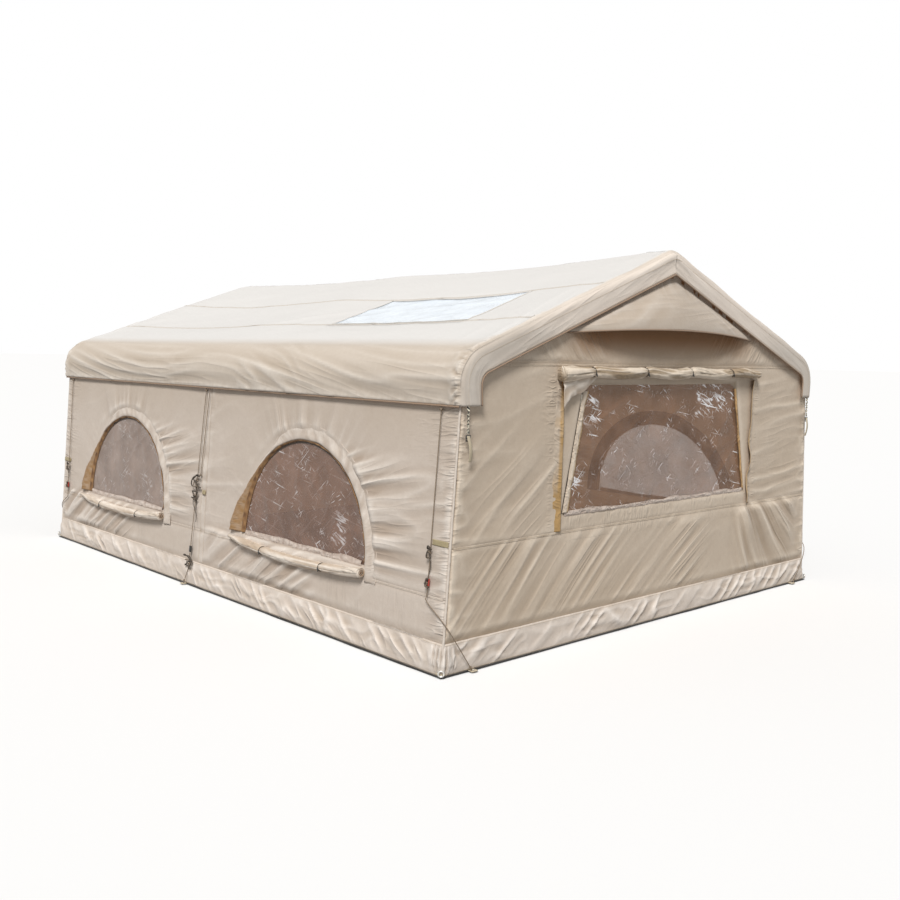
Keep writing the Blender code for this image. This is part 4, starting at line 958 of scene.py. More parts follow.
placket = {"inner": 0.6115, "outer": 0.705, "proud": 0.019, "thickness": 0.003, "foot": 0.085,
    "middle": 0.66}
windowFilmShape = {"step": 0.011, "crinkle": 0.0042, "gableCrinkle": 0.0055, "gableStep": 0.0105}


def filmLift(u, v, seed, crinkle):
    first = crest(folds(u, v, 0.6, 0.11, 0.25, seed), 3.0)
    second = crest(folds(u, v, -0.8, 0.14, 0.35, seed + 2.2), 3.0)
    small = grain(u / 0.035 + seed, v / 0.045)
    return crinkle * (first + second - 0.8) + 0.25 * crinkle * small - 0.004


# Points round a window's middle, at a radius and a turn
def aroundWindow(centre, radius, turn, mirror=1.0):
    return centre + mirror * radius * np.cos(turn), sill + radius * np.sin(turn)


def makeWallWindow(side, key, bay, centre, seed):
    place = wallPlace(side)
    loop = arcOf((centre, sill + 0.001), window["radius"] - 0.002, 0.0, math.pi, 64)

    def lift(u, v):
        away = window["radius"] - np.hypot(u - centre, v - sill)
        rim = ease(away / 0.05) * ease((v - sill) / 0.05)
        return filmLift(u, v, seed, windowFilmShape["crinkle"]) * rim - 0.002

    def glint(u, v):
        right = within(u - centre, 0.18, 0.56, 0.1) * within(v - sill, 0.04, 0.24, 0.1)
        top = within(u - centre, -0.2, 0.1, 0.1) * within(v - sill, 0.44, 0.58, 0.06)
        return (0.8 * right + 0.6 * top) * ease(grain(u / 0.05 + seed, v / 0.06) * 2)

    finish = farFilm if side > 0 else windowFilm if bay == "front" else greyFilm
    film = clothPanel(f"window_film_{key}_pane", ["window_film_" + key], loop, [], place,
        lift, windowFilmShape["step"], [finish], extra={"glint": glint})
    makePlacket(key, centre, place, side, seed)
    makeFlapRoll(key, centre, place, side, seed)
    makeInnerTrim(key, centre, place, seed)


# Zip cover band round a window: stitched outside, free and standing proud inside
def makePlacket(key, centre, place, side, seed):
    p = placket
    length = p["middle"] * math.pi + p["foot"]
    s, t = gridOf(np.linspace(0.0, length, 210), np.linspace(0.0, 1.0, 13))
    turn = np.clip((s - p["foot"]) / p["middle"], 0.0, math.pi)
    wavy = 0.0035 * grain(s / 0.06 + seed, t * 0.6) * t
    waist = 1.0 - 0.74 * ease((turn - 1.8) / 0.4) + 1.1 * np.clip((turn - 2.2) / 0.94, 0, 1) ** 3
    radius = p["inner"] + (p["outer"] - p["inner"]) * (1 - t) * waist + wavy
    mirror = -side
    u, v = aroundWindow(centre, radius, turn, mirror)
    rise = np.interp(t, [0.0, 0.12, 0.35, 0.75, 0.93, 1.0], [0.001, 0.006, 0.4, 1.0, 0.95, 0.62])
    rise = rise * p["proud"] * (0.8 + 0.25 * grain(s / 0.09 + seed, t))
    share = np.clip((turn - 2.05) / 0.8, 0.0, 1.0) ** 1.1 * (1.06 + 0.06 * grain(s / 0.05, t))
    gold = ease((t - 1.0 + share) / 0.1)
    rise = rise * (1 - gold) + gold * (0.004 + 0.02 * (1 - t))
    cross = (0.0022 * crest(grain(s / 0.045 + seed + 2 * t, t * 1.5 + seed), 1.5)
        * np.sin(math.pi * np.clip(t, 0, 1)) ** 0.5)
    out = np.maximum(rise, 0.001) + cross + 0.0045 * (1 - t) * ease((0.3 - t) / 0.3) * 0.2
    points = onPlane(place, u, v - np.clip(p["foot"] - s, 0.0, None), out + 0.0065 * (1 - t) ** 3)
    band = gridPiece(f"window_placket_{key}", points, [placketCloth, goldLining],
        lift=cross + wavy - 0.004 * gold * ease((t - 0.55) / 0.4),
        tintAndPaintedLight=gold * (0.85 + 0.15 * grain(s / 0.02, t * 3)), thickness=p["thickness"], flip=mirror < 0,
        foldSize=0.0022, extra=pleatMarks(s / 0.02 + 1.5 * t, t * 1.4 + seed, 0.0022 * (1 - 0.6 * t)))
    makeReveal(key, centre, place, mirror, seed, points[:, -1], turn[:, 0])
    makeZip(f"window_zip_{{}}_{key}", place, arcOf((centre, sill), 0.603, math.radians(3),
        math.radians(177), 120), 0.0016)


# Dark brown facing behind the placket's free edge, its colour painted shade, wide at the window's left
# foot
def makeReveal(key, centre, place, mirror, seed, edge, turns):
    chosen = turns > 0.02
    edge = edge[chosen]
    a, t = gridOf(turns[chosen], np.linspace(0.0, 1.0, 9))
    wide = 0.009 + 0.022 * ease((a - 1.9) / 1.1)
    radius = placket["inner"] - 0.002 - wide * t + 0.003 * grain(a * 14 + seed, t * 2)
    u, v = aroundWindow(centre, radius, a, mirror)
    ripple = 0.003 * grain(a * 22 + seed, t * 1.3) * (1 - t) * ease(t * 6)
    points = onPlane(place, u, np.maximum(v, sill + 0.002), 0.016 * (1 - t) ** 1.2 + ripple + 0.0012)
    points[:, 0] = edge - (edge - points[:, 0]) * 0.25
    gridPiece(f"window_facing_{key}", points, [revealShade], lift=ripple * 2,
        thickness=0.0012, flip=mirror < 0, foldSize=0.002)


# Coil of a zip along a line, and the woven tape that it is sewn to
def makeZip(name, place, line, rise, body="tent", half=0.011, **sizes):
    path = onPlane(place, *line.T, rise)
    grown(name.format("coil"), "zip_metal", rods, [path], darkTape, body=body, **{**zipCoil, **sizes})
    out = np.array(place)[:3, 2]
    across = np.cross(unitRows(np.gradient(path, axis=0)), out)
    offsets = np.array((-1.0, -0.9, 0.0, 0.9, 1.0))[:, None] * half
    depths = np.array((-0.0016, -0.0006, -0.0004, -0.0006, -0.0016))[:, None]
    gridPiece(name.format("tape"), path[:, None] + across[:, None] * offsets + out * depths,
        [darkTape], body=body)


# Dark facing band round the window on the cabin side
def makeInnerTrim(key, centre, place, seed):
    a, t = gridOf(np.linspace(0.0, math.pi, 90), np.linspace(0.0, 1.0, 6))
    u, v = aroundWindow(centre, 0.597 + 0.105 * t, a)
    out = -0.0055 - 0.006 * np.sin(math.pi * t) - 0.002 * grain(a * 9 + seed, t)
    gridPiece(f"window_inner_trim_{key}", onPlane(place, u, v, out), [beamSleeve],
        lift=out, thickness=0.002, flip=True)


roll = {"radius": 0.0275, "half": 0.665, "shift": 0.06, "below": 0.036, "sag": 0.04, "stations": 150,
    "ring": 40}


# Window flap rolled up under the sill, tied twice, with its scroll showing at one end
def makeFlapRoll(key, centre, place, side, seed):
    share = np.linspace(-1.0, 1.0, roll["stations"])
    up = sill - roll["below"] - roll["sag"] * (1.0 - share * share)
    path = onPlane(place, centre + side * roll["shift"] + share * roll["half"], up,
        roll["radius"] + 0.0006)
    ties = [side * 0.42, side * -0.47]
    taper = 0.42 + 0.58 * ease((-side * share + 1.0) / 0.3)
    radius = roll["radius"] * taper * (1.0 - 0.22 * pinched(share, ties, 0.022)) * 0.97

    def crease(s, t):
        spiral = crest(grain(s / 0.3 + seed + t * 0.35, t * 0.75 + seed), 1.6)
        return ((0.005 * (spiral - 0.5) + 0.0005 * grain(s / 0.03 + seed, t * 2))
            * np.clip(taper[:, None] - 0.2, 0.1, 1))

    sweep(f"flap_roll_{key}_cloth", path, radius, rollCanvas, roll["ring"],
        ["flap_roll_" + key], lift=crease, marks=twistMarks)
    end, inner = (path[-1], path[-2]) if side < 0 else (path[0], path[1])
    makeScroll(f"flap_roll_scroll_{key}", end, end - inner, roll["radius"] * 0.9)
    for k, at in enumerate(ties):
        makeTie(f"flap_tie_{key}_{k}", path, radius + 0.0015, at, place)
    makeFilmHem(key, centre, place, seed)


# How much the ties squeeze a roll at each place along it
def pinched(share, ties, width):
    return sum(np.exp(-((share - at) / width) ** 2) for at in ties)


# Slanting pleats of a rolled flap
def twistMarks(s, t):
    return pleatMarks(t * 1.1 + s / 0.13, s / 0.1 - t * 0.4, 0.004
        * ease(grain(s / 0.12 + 2, t * 0.6) + 0.8))


# Spiral edge of the rolled cloth, seen in the roll's open end
def makeScroll(name, centre, along, radius):
    turns = np.linspace(0.0, 5.2 * math.pi, 120)
    size = radius * (0.25 + 0.75 * turns / turns[-1])
    loop = np.stack((size * np.cos(turns), size * np.sin(turns), np.zeros_like(turns)), -1)
    rows = [(loop + (0.0, 0.0, depth)) @ turnTo(along) + centre for depth in (-0.01, 0.0035)]
    gridPiece(name, np.stack(rows, 1), [rollCanvas, goldLining], thickness=0.0016)
    # Dark plug in the roll's hollow: painted shade
    sweep(name + "_shade_core", centre + np.outer((-0.004, 0.003), unitRows(along)),
        radius * 0.62, beamSleeve, 20)


# Elastic loop round a roll, with its small toggle
def makeTie(name, path, sizes, at, place):
    spot = int(np.rint((at + 1) / 2 * (len(path) - 1)))
    centre = path[spot]
    along = path[spot + 1] - path[spot]
    radius = sizes[spot]
    _, c, s = ringOf(36)
    loop = np.stack((radius * c, radius * s, 0.004 * s), -1)
    sweep(name, loop @ turnTo(along) + centre, 0.0022, tieCord, 8, closed=True)
    up, out = np.array(place)[:3, 1:3].T
    middle = centre + out * (radius + 0.002) - up * radius * 0.55
    ends = np.linspace(-0.013, 0.013, 12)
    size = 0.0036 * np.sqrt(np.clip(1 - (ends / 0.0145) ** 2, 0.05, 1))
    sweep(name + "_toggle", middle + np.outer(ends, 0.45 * unitRows(along) - 0.9 * up),
        size, blackPlastic, 12)


# Welded foot of a window's film, crinkled above the sill
def makeFilmHem(key, centre, place, seed):
    span = window["radius"] - 0.02
    u, t = gridOf(np.linspace(centre - span, centre + span, 170), np.linspace(0.0, 1.0, 8))
    bulge = 0.5 + 0.5 * grain(u / 0.05 + seed, t * 1.2)
    lift = 0.007 * np.sin(math.pi * t) * bulge + 0.0018 * grain(u / 0.016 + seed, t * 2.5)
    v = sill - 0.012 + (0.036 + 0.007 * grain(u / 0.15 + seed, 0.0)) * t
    gridPiece(f"window_film_hem_{key}", onPlane(place, u, v, 0.003 + lift), [filmHem],
        lift=lift, foldSize=0.003, extra=pleatMarks(u / 0.024 + 0.5 * t, t * 1.6 + seed, 0.0035))


makeLongWalls()
print("long walls and their windows made")


gable = {"step": 0.009, "rearStep": 0.018, "thickness": 0.004, "crumple": 0.002, "gather": 0.009,
    "upperSeam": 1.5, "sillSeam": 0.617, "skirtTop": 0.162}
frontWindow = {"sill": 0.715, "head": 1.395, "sillHalf": 0.88, "headHalf": 0.735, "corner": 0.07}
windowTaper = (frontWindow["sillHalf"] - frontWindow["headHalf"]) / (frontWindow["head"]
    - frontWindow["sill"])
door = {"half": 0.52, "sill": 0.195, "head": 1.72, "corner": 0.18, "lap": 0.022}
mirrored = np.array((-1.0, 1.0))


def bayShare(x):
    share = (np.abs(x) - 0.075) / (house["archEnd"] - 0.15)
    return np.where((share > 0) & (share < 1), np.sin(math.pi * np.clip(share, 0, 1)), 0.0)


def ridgeAt(x, sagging=True):
    end = np.where(x > 0, house["ridgeFront"], house["ridgeRear"])
    share = np.clip((np.abs(x) - 0.075) / (house["archEnd"] - 0.15), 0.0, 1.0)
    height = house["ridgeMiddle"] + (end - house["ridgeMiddle"]) * share
    return height - house["ridgeSag"] * bayShare(x) if sagging else height


# Foot, eave and apex of the house's section, set in from its walls and its roof
def houseCorners(ridge, sideIn, roofIn, foot, flyCut=False):
    pitch = (ridge - house["eaveCorner"]) / house["eaveHalfWidth"]
    apex = ridge - roofIn * math.hypot(1.0, pitch)
    lean = house["lean"]
    width = house["footHalfWidth"]
    if flyCut:
        lean = ((house["flyHemHalfWidth"] - house["eaveHalfWidth"]) / (house["eaveCorner"]
            - house["hemHeight"]))
        width = house["flyHemHalfWidth"] + lean * house["hemHeight"]
    width -= sideIn * math.hypot(1.0, lean)
    eave = (apex - pitch * width) / (1.0 - pitch * lean)
    return (width - lean * foot, foot), (width - lean * eave, eave), (0.0, apex), pitch


# Points of the arc that rounds a corner of a path
def rounded(before, corner, after, radius, steps):
    corner = Vector(corner)
    toBefore = (Vector(before) - corner).normalized()
    toAfter = (Vector(after) - corner).normalized()
    half = toBefore.angle(toAfter) / 2
    centre = corner + (toBefore + toAfter).normalized() * radius / math.sin(half)
    start = corner + toBefore * radius / math.tan(half) - centre
    end = corner + toAfter * radius / math.tan(half) - centre
    step = -start.angle_signed(end) / steps
    return np.array([tuple(centre + Matrix.Rotation(step * i, 2) @ start) for i in range(steps + 1)])


def gableLoop(ridge):
    low, eave, apex, _ = houseCorners(ridge, 0.0048, 0.0096, floorTop)
    bend = rounded(low, eave, apex, 0.19, 12)
    top = rounded(eave, apex, (-eave[0], eave[1]), 0.235, 12)
    half = np.vstack(([low], bend))
    return np.vstack((half, top, half[::-1] * mirrored))


def frontWindowLoop(inset):
    low = frontWindow["sill"] + inset
    high = frontWindow["head"] - inset
    wide = frontWindow["sillHalf"] - inset - windowTaper * inset
    narrow = frontWindow["headHalf"] - inset + windowTaper * inset
    right = rounded((wide, low), (narrow, high), (-narrow, high), frontWindow["corner"] - inset, 12)
    return np.vstack(([(-wide, low), (wide, low)], right, right[::-1] * mirrored))


# The families of folds in a gable's cloth: across them, along them, and their strength
def gableFolds(u, v, isFront):
    lower = ease((gable["sillSeam"] + 0.03 - v) / 0.08)
    upper = ease((v - gable["upperSeam"] - 0.01) / 0.04)
    slanted = turned(u, v, 0.8 - 0.12 * np.clip(u + 1.2, 0.0, 2.0))
    across, along = turned(u, v, 0.7 - 0.05 * v)
    corner = wallReach(v) - np.abs(u)
    flap = np.abs(np.abs(u) - 0.995)
    beside = isFront * within(v, 0.6, 1.44, 0.05) * np.exp(-flap / 0.05)
    below = isFront * within(np.abs(u), -1.0, 0.86, 0.1) * within(v, 0.56, 0.7, 0.04)
    low = lower * within(u, -1.9, 0.42, 0.5) * (0.55 + 0.45 * grain(u / 0.3, v / 0.5))
    fanned = 1.15 * np.arctan2(v - 1.35, u - 0.35) + 0.012 * grain(u / 0.3, v / 0.3)
    fan = within(u, 0.86, 1.54, 0.22) * lower * (0.5 + 0.5 * ease((v - 0.2) / 0.3))
    left = (1 - lower) * within(u, -1.9, -0.93, 0.12) * ease((1.32 - v) / 0.55)
    right = within(u, 0.97, 1.75, 0.1) * (1 - lower) * ease((1.55 - v) / 0.2)
    return {"low": (*slanted, low), "fan": (fanned, np.hypot(u - 0.35, v - 1.35), fan),
        "left": (across + 0.02 * grain(u / 0.4, v / 0.5), along, left),
        "right": (v - 0.1 * (u - 1.0) + 0.01 * grain(u / 0.2, v / 0.2), u, right),
        "pleat": (*turned(u, v, 2.25), upper * within(u, -1.25, -0.55, 0.25)),
        "other": (*turned(u, v, 0.9), upper * within(u, 0.5, 1.3, 0.3)),
        "corner": (v, corner, np.exp(-np.clip(corner, 0.0, None) / 0.08)), "flap": (v, flap, beside),
        "sill": (u, v, below)}


# Height, width, length and start of each family, in its broad folds and in its narrow pleats
gableBroad = {"low": (0.012, 0.064, 1.5, 0.0), "fan": (0.026, 0.074, 1.6, 3.0),
    "left": (0.008, 0.11, 1.3, 5.0), "right": (0.006, 0.09, 0.8, 9.0), "pleat": (0.005, 0.05, 0.4, 0.0),
    "other": (0.005, 0.07, 0.4, 4.0)}
gableNarrow = {"low": (0.0046, 0.046, 0.95, 0.0), "fan": (0.0105, 0.046, 0.9, 3.0),
    "left": (0.0024, 0.06, 0.85, 5.0), "right": (0.002, 0.06, 0.6, 9.0),
    "pleat": (0.0045, 0.03, 0.3, 0.0), "other": (0.004, 0.036, 0.3, 4.0),
    "corner": (0.0056, 0.034, 0.12, 1.0), "flap": (0.0046, 0.03, 0.08, 2.0),
    "sill": (0.003, 0.024, 0.09, 6.0)}


# How far a gable's cloth stands out
def gableLift(u, v, seed, isFront):
    lift = 0.003 * (1.0 + grain(u / 0.9 + seed, v / 0.7))
    lift = lift + gable["crumple"] * crest(folds(u, v, 0.4, 0.15, 0.45, seed + 2), 1.5)
    families = gableFolds(u, v, isFront)
    for key, (high, width, length, start) in gableBroad.items():
        across, along, weight = families[key]
        wave = crest(grain(across / width + seed + start, along / length + seed), 1.5)
        lift = lift + high * weight * wave
    corner = families["corner"][1]
    lift = lift + gable["gather"] * gathers(corner, v, 0.05, 0.075, seed)
    if isFront:
        edge = frontWindow["sillHalf"] - windowTaper * (v - frontWindow["sill"])
        gap = np.maximum(np.abs(u) - edge, np.maximum(v - frontWindow["head"], frontWindow["sill"] - v))
    else:
        gap = np.maximum(np.abs(u) - door["half"], np.maximum(v - door["head"], door["sill"] - v))
        gap = 0.4 * (gap - door["lap"] - 0.006)
    for height in (gable["sillSeam"], gable["upperSeam"]):
        lift = lift - 0.003 * np.exp(-((v - height) / 0.012) ** 2)
    return lift * ease(corner / 0.012) * ease((v - 0.16) / 0.05) * ease(gap / 0.03)


def gablePleats(u, v, seed, isFront):
    families = gableFolds(u, v, isFront)
    marks = []
    for key, (high, width, length, start) in gableNarrow.items():
        across, along, weight = families[key]
        marks.append((across / width + seed + start, along / length + start, high * weight))
    for height in (gable["sillSeam"], gable["upperSeam"], gable["skirtTop"]):
        away = np.abs(v - height)
        marks.append((u / 0.021 + height, away / 0.05, 0.0018 * np.exp(-away / 0.028)))
    return finest(*marks)


# Warm shade that the brow throws on the cloth under it
def underBrow(u, v):
    return 0.9 * within(u, -0.85, 0.85, 0.35) * ease((v - 1.5) / 0.17)


def doorBends(grow, sweepEnd, steps):
    half = door["half"] + grow
    high = door["head"] + grow
    radius = door["corner"] + grow
    right = arcOf((half - radius, high - radius), radius, 0.0, math.pi / 2, steps)
    left = arcOf((radius - half, high - radius), radius, math.pi / 2, sweepEnd, steps)
    return half, door["sill"] - grow, high - radius, np.vstack((right, left))


def doorLoop(grow):
    half, low, _, bends = doorBends(grow, math.pi, 14)
    return np.vstack(([(-half, low), (half, low)], bends))


def makeGables():
    for end, name, step, seed, ridge in ((1.0, "front", gable["step"], 50.0, house["ridgeFront"]),
            (-1.0, "rear", gable["rearStep"], 77.0, house["ridgeRear"])):
        isFront = end > 0
        hole = frontWindowLoop(0.0) if isFront else doorLoop(0.0)

        def lift(u, v):
            return gableLift(u, v, seed, isFront)

        def pleats(u, v):
            return gablePleats(u, v, seed, isFront)

        place = gablePlace(end)
        whole = gableLoop(ridge)
        seam = gable["sillSeam"]
        reach = wallReach(seam) - 0.0048
        lower = np.array((whole[0], (reach, seam), (-reach, seam), whole[-1]))
        upper = np.vstack(((reach, seam), whole[1:-1], (-reach, seam)))
        for part, outline in (("lower", lower), ("upper", upper)):
            # the front gable gets painted warm shade under the brow
            panel = clothPanel(f"gable_{name}_cloth_{part}", ["gable_wall_" + name],
                outline, [hole], place, lift, step, [gableShadedCanvas, glowingLining], gable["thickness"],
                muddy, {"paintedLight": underBrow} if isFront else {}, pleats)
        edges = (-reach + 0.01, reach - 0.01)
        gap = (-door["half"] - 0.03, door["half"] + 0.03)
        for k, (left, right) in enumerate([edges] if isFront else zip((edges[0], gap[1]),
                (gap[0], edges[1]))):
            sewnTape(f"gable_{name}_sill_seam_{k}", place, (left, seam), (right, seam), 0.007, lift,
                gableShadedCanvas)
        if isFront:
            high = gable["upperSeam"]
            sewnTape("gable_front_upper_seam", place, (-1.52, high), (1.52, high), 0.006, lift,
                gableShadedCanvas)


def makeGableFilm():
    place = gablePlace(1.0)
    loop = frontWindowLoop(0.001)

    def lift(u, v):
        rim = ease((frontWindow["head"] - v) / 0.05) * ease((v - frontWindow["sill"]) / 0.05)
        return filmLift(u, v, 91.0, windowFilmShape["gableCrinkle"]) * rim - 0.002

    def glint(u, v):
        edge = 0.88 - 0.213 * (v - 0.715) - np.abs(u)
        left = within(u, -0.92, -0.5, 0.1) * np.exp(-edge / 0.07) * within(v, 0.72, 1.3, 0.1)
        strong = np.maximum.reduce([within(u, -0.85, -0.6, 0.06) * within(v, 1.2, 1.42, 0.06),
            within(u, 0.15, 0.8, 0.1) * within(v, 1.2, 1.42, 0.08),
            within(u, -0.92, -0.74, 0.06) * within(v, 0.7, 0.92, 0.08)])
        clumps = ease(grain(u / 0.07 + 8, v / 0.07) * 2 + 0.6)
        return np.clip((0.5 * left + 1.0 * strong) * clumps, 0.0, 1.0)

    film = clothPanel("gable_window_pane", ["gable_window_film"], loop, [], place, lift,
        windowFilmShape["gableStep"], [gableFilm], extra={"glint": glint})
    u, t = gridOf(np.linspace(-0.872, 0.872, 230), np.linspace(0.0, 1.0, 9))
    bulge = 0.5 + 0.5 * grain(u / 0.06 + 2, t * 1.2)
    raised = 0.006 * np.sin(math.pi * t) * bulge + 0.0018 * grain(u / 0.03, t * 2.5)
    v = frontWindow["sill"] - 0.014 + (0.026 + 0.008 * grain(u / 0.11, 0.0)) * t
    gridPiece("gable_window_hem", onPlane(place, u, v, 0.003 + raised), [filmHem],
        lift=raised, extra=pleatMarks(u / 0.026, t * 1.6, 0.005), foldSize=0.003)


# Golden facings down both sides of the front window, and its dark zips
def makeGableReveals():
    place = gablePlace(1.0)
    vs = np.linspace(frontWindow["sill"] + 0.005, frontWindow["head"] - 0.03, 90)
    v, t = gridOf(vs, np.linspace(0.0, 1.0, 7))
    edge = frontWindow["sillHalf"] - windowTaper * (v - frontWindow["sill"])
    for side, name, wide, cloth in ((-1.0, "near", 0.048, flapCloth), (1.0, "far", 0.018, goldLining)):
        wave = 0.006 * grain(v / 0.05 + side, t)
        u = side * (edge + 0.01 - wide * t + wave * t)
        out = (0.007 * np.sin(math.pi * np.clip(t * 0.9 + 0.1, 0, 1)) + 0.002
            + 0.002 * grain(v / 0.03, t * 2 + side))
        gridPiece(f"gable_window_facing_{name}", onPlane(place, u, v, out), [cloth],
            lift=out, thickness=0.0012, flip=side < 0, tintAndPaintedLight=ease((t - 0.55) / 0.3),
            extra=pleatMarks(v / 0.03 + t, t * 1.3, 0.004))
        makeZip(f"gable_zip_{{}}_{name}", place, np.stack((side * (edge[:, 0] + 0.013), vs), -1), 0.001)


stormFlap = {"inner": 0.906, "width": 0.085, "foot": 0.625, "head": 1.4195}


# Strips that cover the front window's zips, sewn along their outer edge, free along the other
def makeStormFlaps():
    s = stormFlap
    v, t = gridOf(np.linspace(s["foot"], s["head"], 130), np.linspace(0.0, 1.0, 14))
    for side, name, curl in ((-1.0, "near", 0.01), (1.0, "far", 0.024)):
        wave = grain(v / 0.13 + side * 3, 0.0)
        out = (0.0022 + t ** 1.6 * (curl + 0.01 * wave) + 0.0025
            * crest(grain(v / 0.032 + side, t * 1.5), 1.5) * np.sin(math.pi * t))
        u = side * (s["inner"] + s["width"] * (1 - t) + 0.01 * wave * t ** 2)
        worn = ease((t - 0.62) / 0.2) * 0.8
        if side < 0:
            worn = (ease((1.02 - v) / 0.3) + 0.8 * ease((t - 0.6) / 0.2)
                + 0.3 * ease(grain(v / 0.05, t * 2) * 2 - 0.2))
        flap = gridPiece(f"storm_flap_{name}_cloth", onPlane(gablePlace(1.0), u, v, out),
            [flapCloth, goldLining], ["storm_flap_" + name], lift=out, thickness=0.0022, flip=side < 0,
            tintAndPaintedLight=worn, extra=pleatMarks(v / 0.034 + t, t * 1.2 + side,
            0.0045 * np.sin(math.pi * t) ** 0.5))


gableRoll = {"radius": 0.034, "half": 0.96, "height": 1.466, "sag": 0.012,
    "ties": (-0.74, -0.26, 0.2, 0.66)}


def makeGableRoll():
    place = gablePlace(1.0)
    share = np.linspace(-1.0, 1.0, 230)
    up = gableRoll["height"] - gableRoll["sag"] * np.cos(2 * math.pi * share) ** 2
    path = onPlane(place, share * gableRoll["half"], up, gableRoll["radius"] + 0.0006)
    radius = gableRoll["radius"] * (0.9 - 0.26 * pinched(share, gableRoll["ties"], 0.018))
    radius = radius * (1.0 + 0.3 * ease((-0.8 - share) / 0.15))
    radius = radius * (1.0 - 0.25 * ease((share - 0.86) / 0.1))

    def crease(s, t):
        spiral = crest(grain(s / 0.16 + t * 0.5, t * 0.9 + 4.0), 1.5)
        return 0.009 * (spiral - 0.6) + 0.001 * grain(s / 0.03, t * 2)

    sweep("gable_roll_cloth", path, radius, foldCanvas, 44, ["gable_flap_roll"],
        lift=crease, marks=twistMarks)
    makeScroll("gable_roll_scroll_far", path[-1], path[-1] - path[-2], gableRoll["radius"] * 0.7)
    for k, at in enumerate(gableRoll["ties"]):
        makeTie(f"gable_tie_{k}", path, radius + 0.002, at, place)


# Corner of the rolled flap that hangs out of the roll at its near end
def makeLooseCorner():
    a, b = gridOf(np.linspace(0.0, 1.0, 40), np.linspace(0.0, 1.0, 22))
    top = 1.492 - 0.006 * a
    low = 1.275 + 0.165 * a ** 0.8 + 0.014 * np.sin(9 * a)
    wave = 0.008 * crest(grain(a * 5 + 2, b * 3 + 7), 1.6)
    out = 0.012 + 0.03 * np.sin(math.pi * (0.25 + 0.5 * b)) * (1 - 0.3 * a) + wave
    points = onPlane(gablePlace(1.0), -0.965 + 0.3 * a + 0.03 * b, top + (low - top) * b, out)
    gridPiece("gable_roll_loose_corner", points, [rollCanvas, goldLining], lift=wave,
        thickness=0.0022, flip=True)


brow = {"half": 0.9, "lap": 0.03, "drop": 0.018, "rise": 0.037, "bulge": 0.115}


# Cloth hood under the front peak, bulging out over the gable
def makeBrow():
    pitch = (house["ridgeFront"] - house["eaveCorner"]) / house["eaveHalfWidth"]
    hyp = math.hypot(1.0, pitch)
    edgeIn = house["band"] * hyp
    endLow = house["ridgeFront"] - pitch * brow["half"] - edgeIn - brow["drop"]
    share, down = gridOf(np.linspace(-1.0, 1.0, 130), np.linspace(-0.18, 1.0, 34))
    y = share * brow["half"]
    slope = house["ridgeFront"] - pitch * np.sqrt(y ** 2 + 0.05 ** 2)
    high = slope - edgeIn
    low = endLow + brow["rise"] * (1.0 - share ** 2)
    below = np.clip(down, 0.0, 1.0)
    top = slope - (house["band"] - brow["lap"]) * hyp
    z = np.where(down < 0, high + (top - high) * (-down / 0.18), high + (low - high) * below)
    bulge = brow["bulge"] * (1.0 - share ** 2) * np.sin(math.pi / 2 * below)
    pull = crest(folds(y, z, 0.3, 0.07, 0.6, 14.0), 1.6) * ease((0.2 - share) / 0.5)
    other = crest(folds(y, z, -0.55, 0.075, 0.5, 19.0), 1.6) * ease((share - 0.1) / 0.4)
    wave = 0.0045 * (pull + other) * np.sin(math.pi * np.clip(below, 0.0, 0.97)) ** 0.7
    wave = wave + 0.004 * crest(grain(share * 22 + 3, down * 1.2), 1.5) * np.exp(-below / 0.2)
    points = np.stack((house["halfLength"] + 0.0045 + bulge + wave, y, z), -1)
    drawn = z - 0.06 * y + 0.012 * grain(y / 0.4, z / 0.2)
    marks = finest((drawn / 0.046 + 4, y / 0.8, 0.004 * ease((0.85 - below) / 0.3)),
        (y / 0.03, below / 0.3, 0.0026 * np.exp(-np.abs(below) / 0.08)))
    hood = gridPiece("brow_cloth", points, [browCloth, browLiningShade], ["gable_brow"],
        lift=wave, thickness=0.003, flip=True, extra=marks)
    sweep("brow_hem", points[:, -1] + (0.0012, 0.0, 0.0), 0.0038, pipingTape, 8)


browCloth = clothFinish("brow canvas", **{**gableShadedLook, "cloth": (0.545, 0.485, 0.425),
    "crest": (0.62, 0.56, 0.495)})
# Brow's underside: brown lining darkened as painted shade
browLiningShade = clothFinish("brow lining painted shade", (0.2, 0.12, 0.065), (0.24, 0.15, 0.085), (0.12, 0.07, 0.035))
flapCloth = clothFinish("storm flap canvas", **{**gableShadedLook, "tintAndPaintedLight": (0.46, 0.29, 0.12)})
foldCanvas = clothFinish("gable roll canvas", **{**gableShadedLook, "cloth": (0.74, 0.65, 0.52),
    "valley": (0.34, 0.25, 0.16), "speck": 0.12})
makeGables()
makeGableFilm()
makeGableReveals()
makeStormFlaps()
makeGableRoll()
makeLooseCorner()
makeBrow()
print("gables made")


# Rain fly, lofted through the house's section
fly = {"eave": 0.2, "ridge": 0.16, "roll": 0.01, "gather": 0.016, "cloth": 0.006, "hemPucker": 0.004,
    "ruffle": 0.0085, "edge": house["flyEnd"] - house["shoulder"], "fine": 0.28}


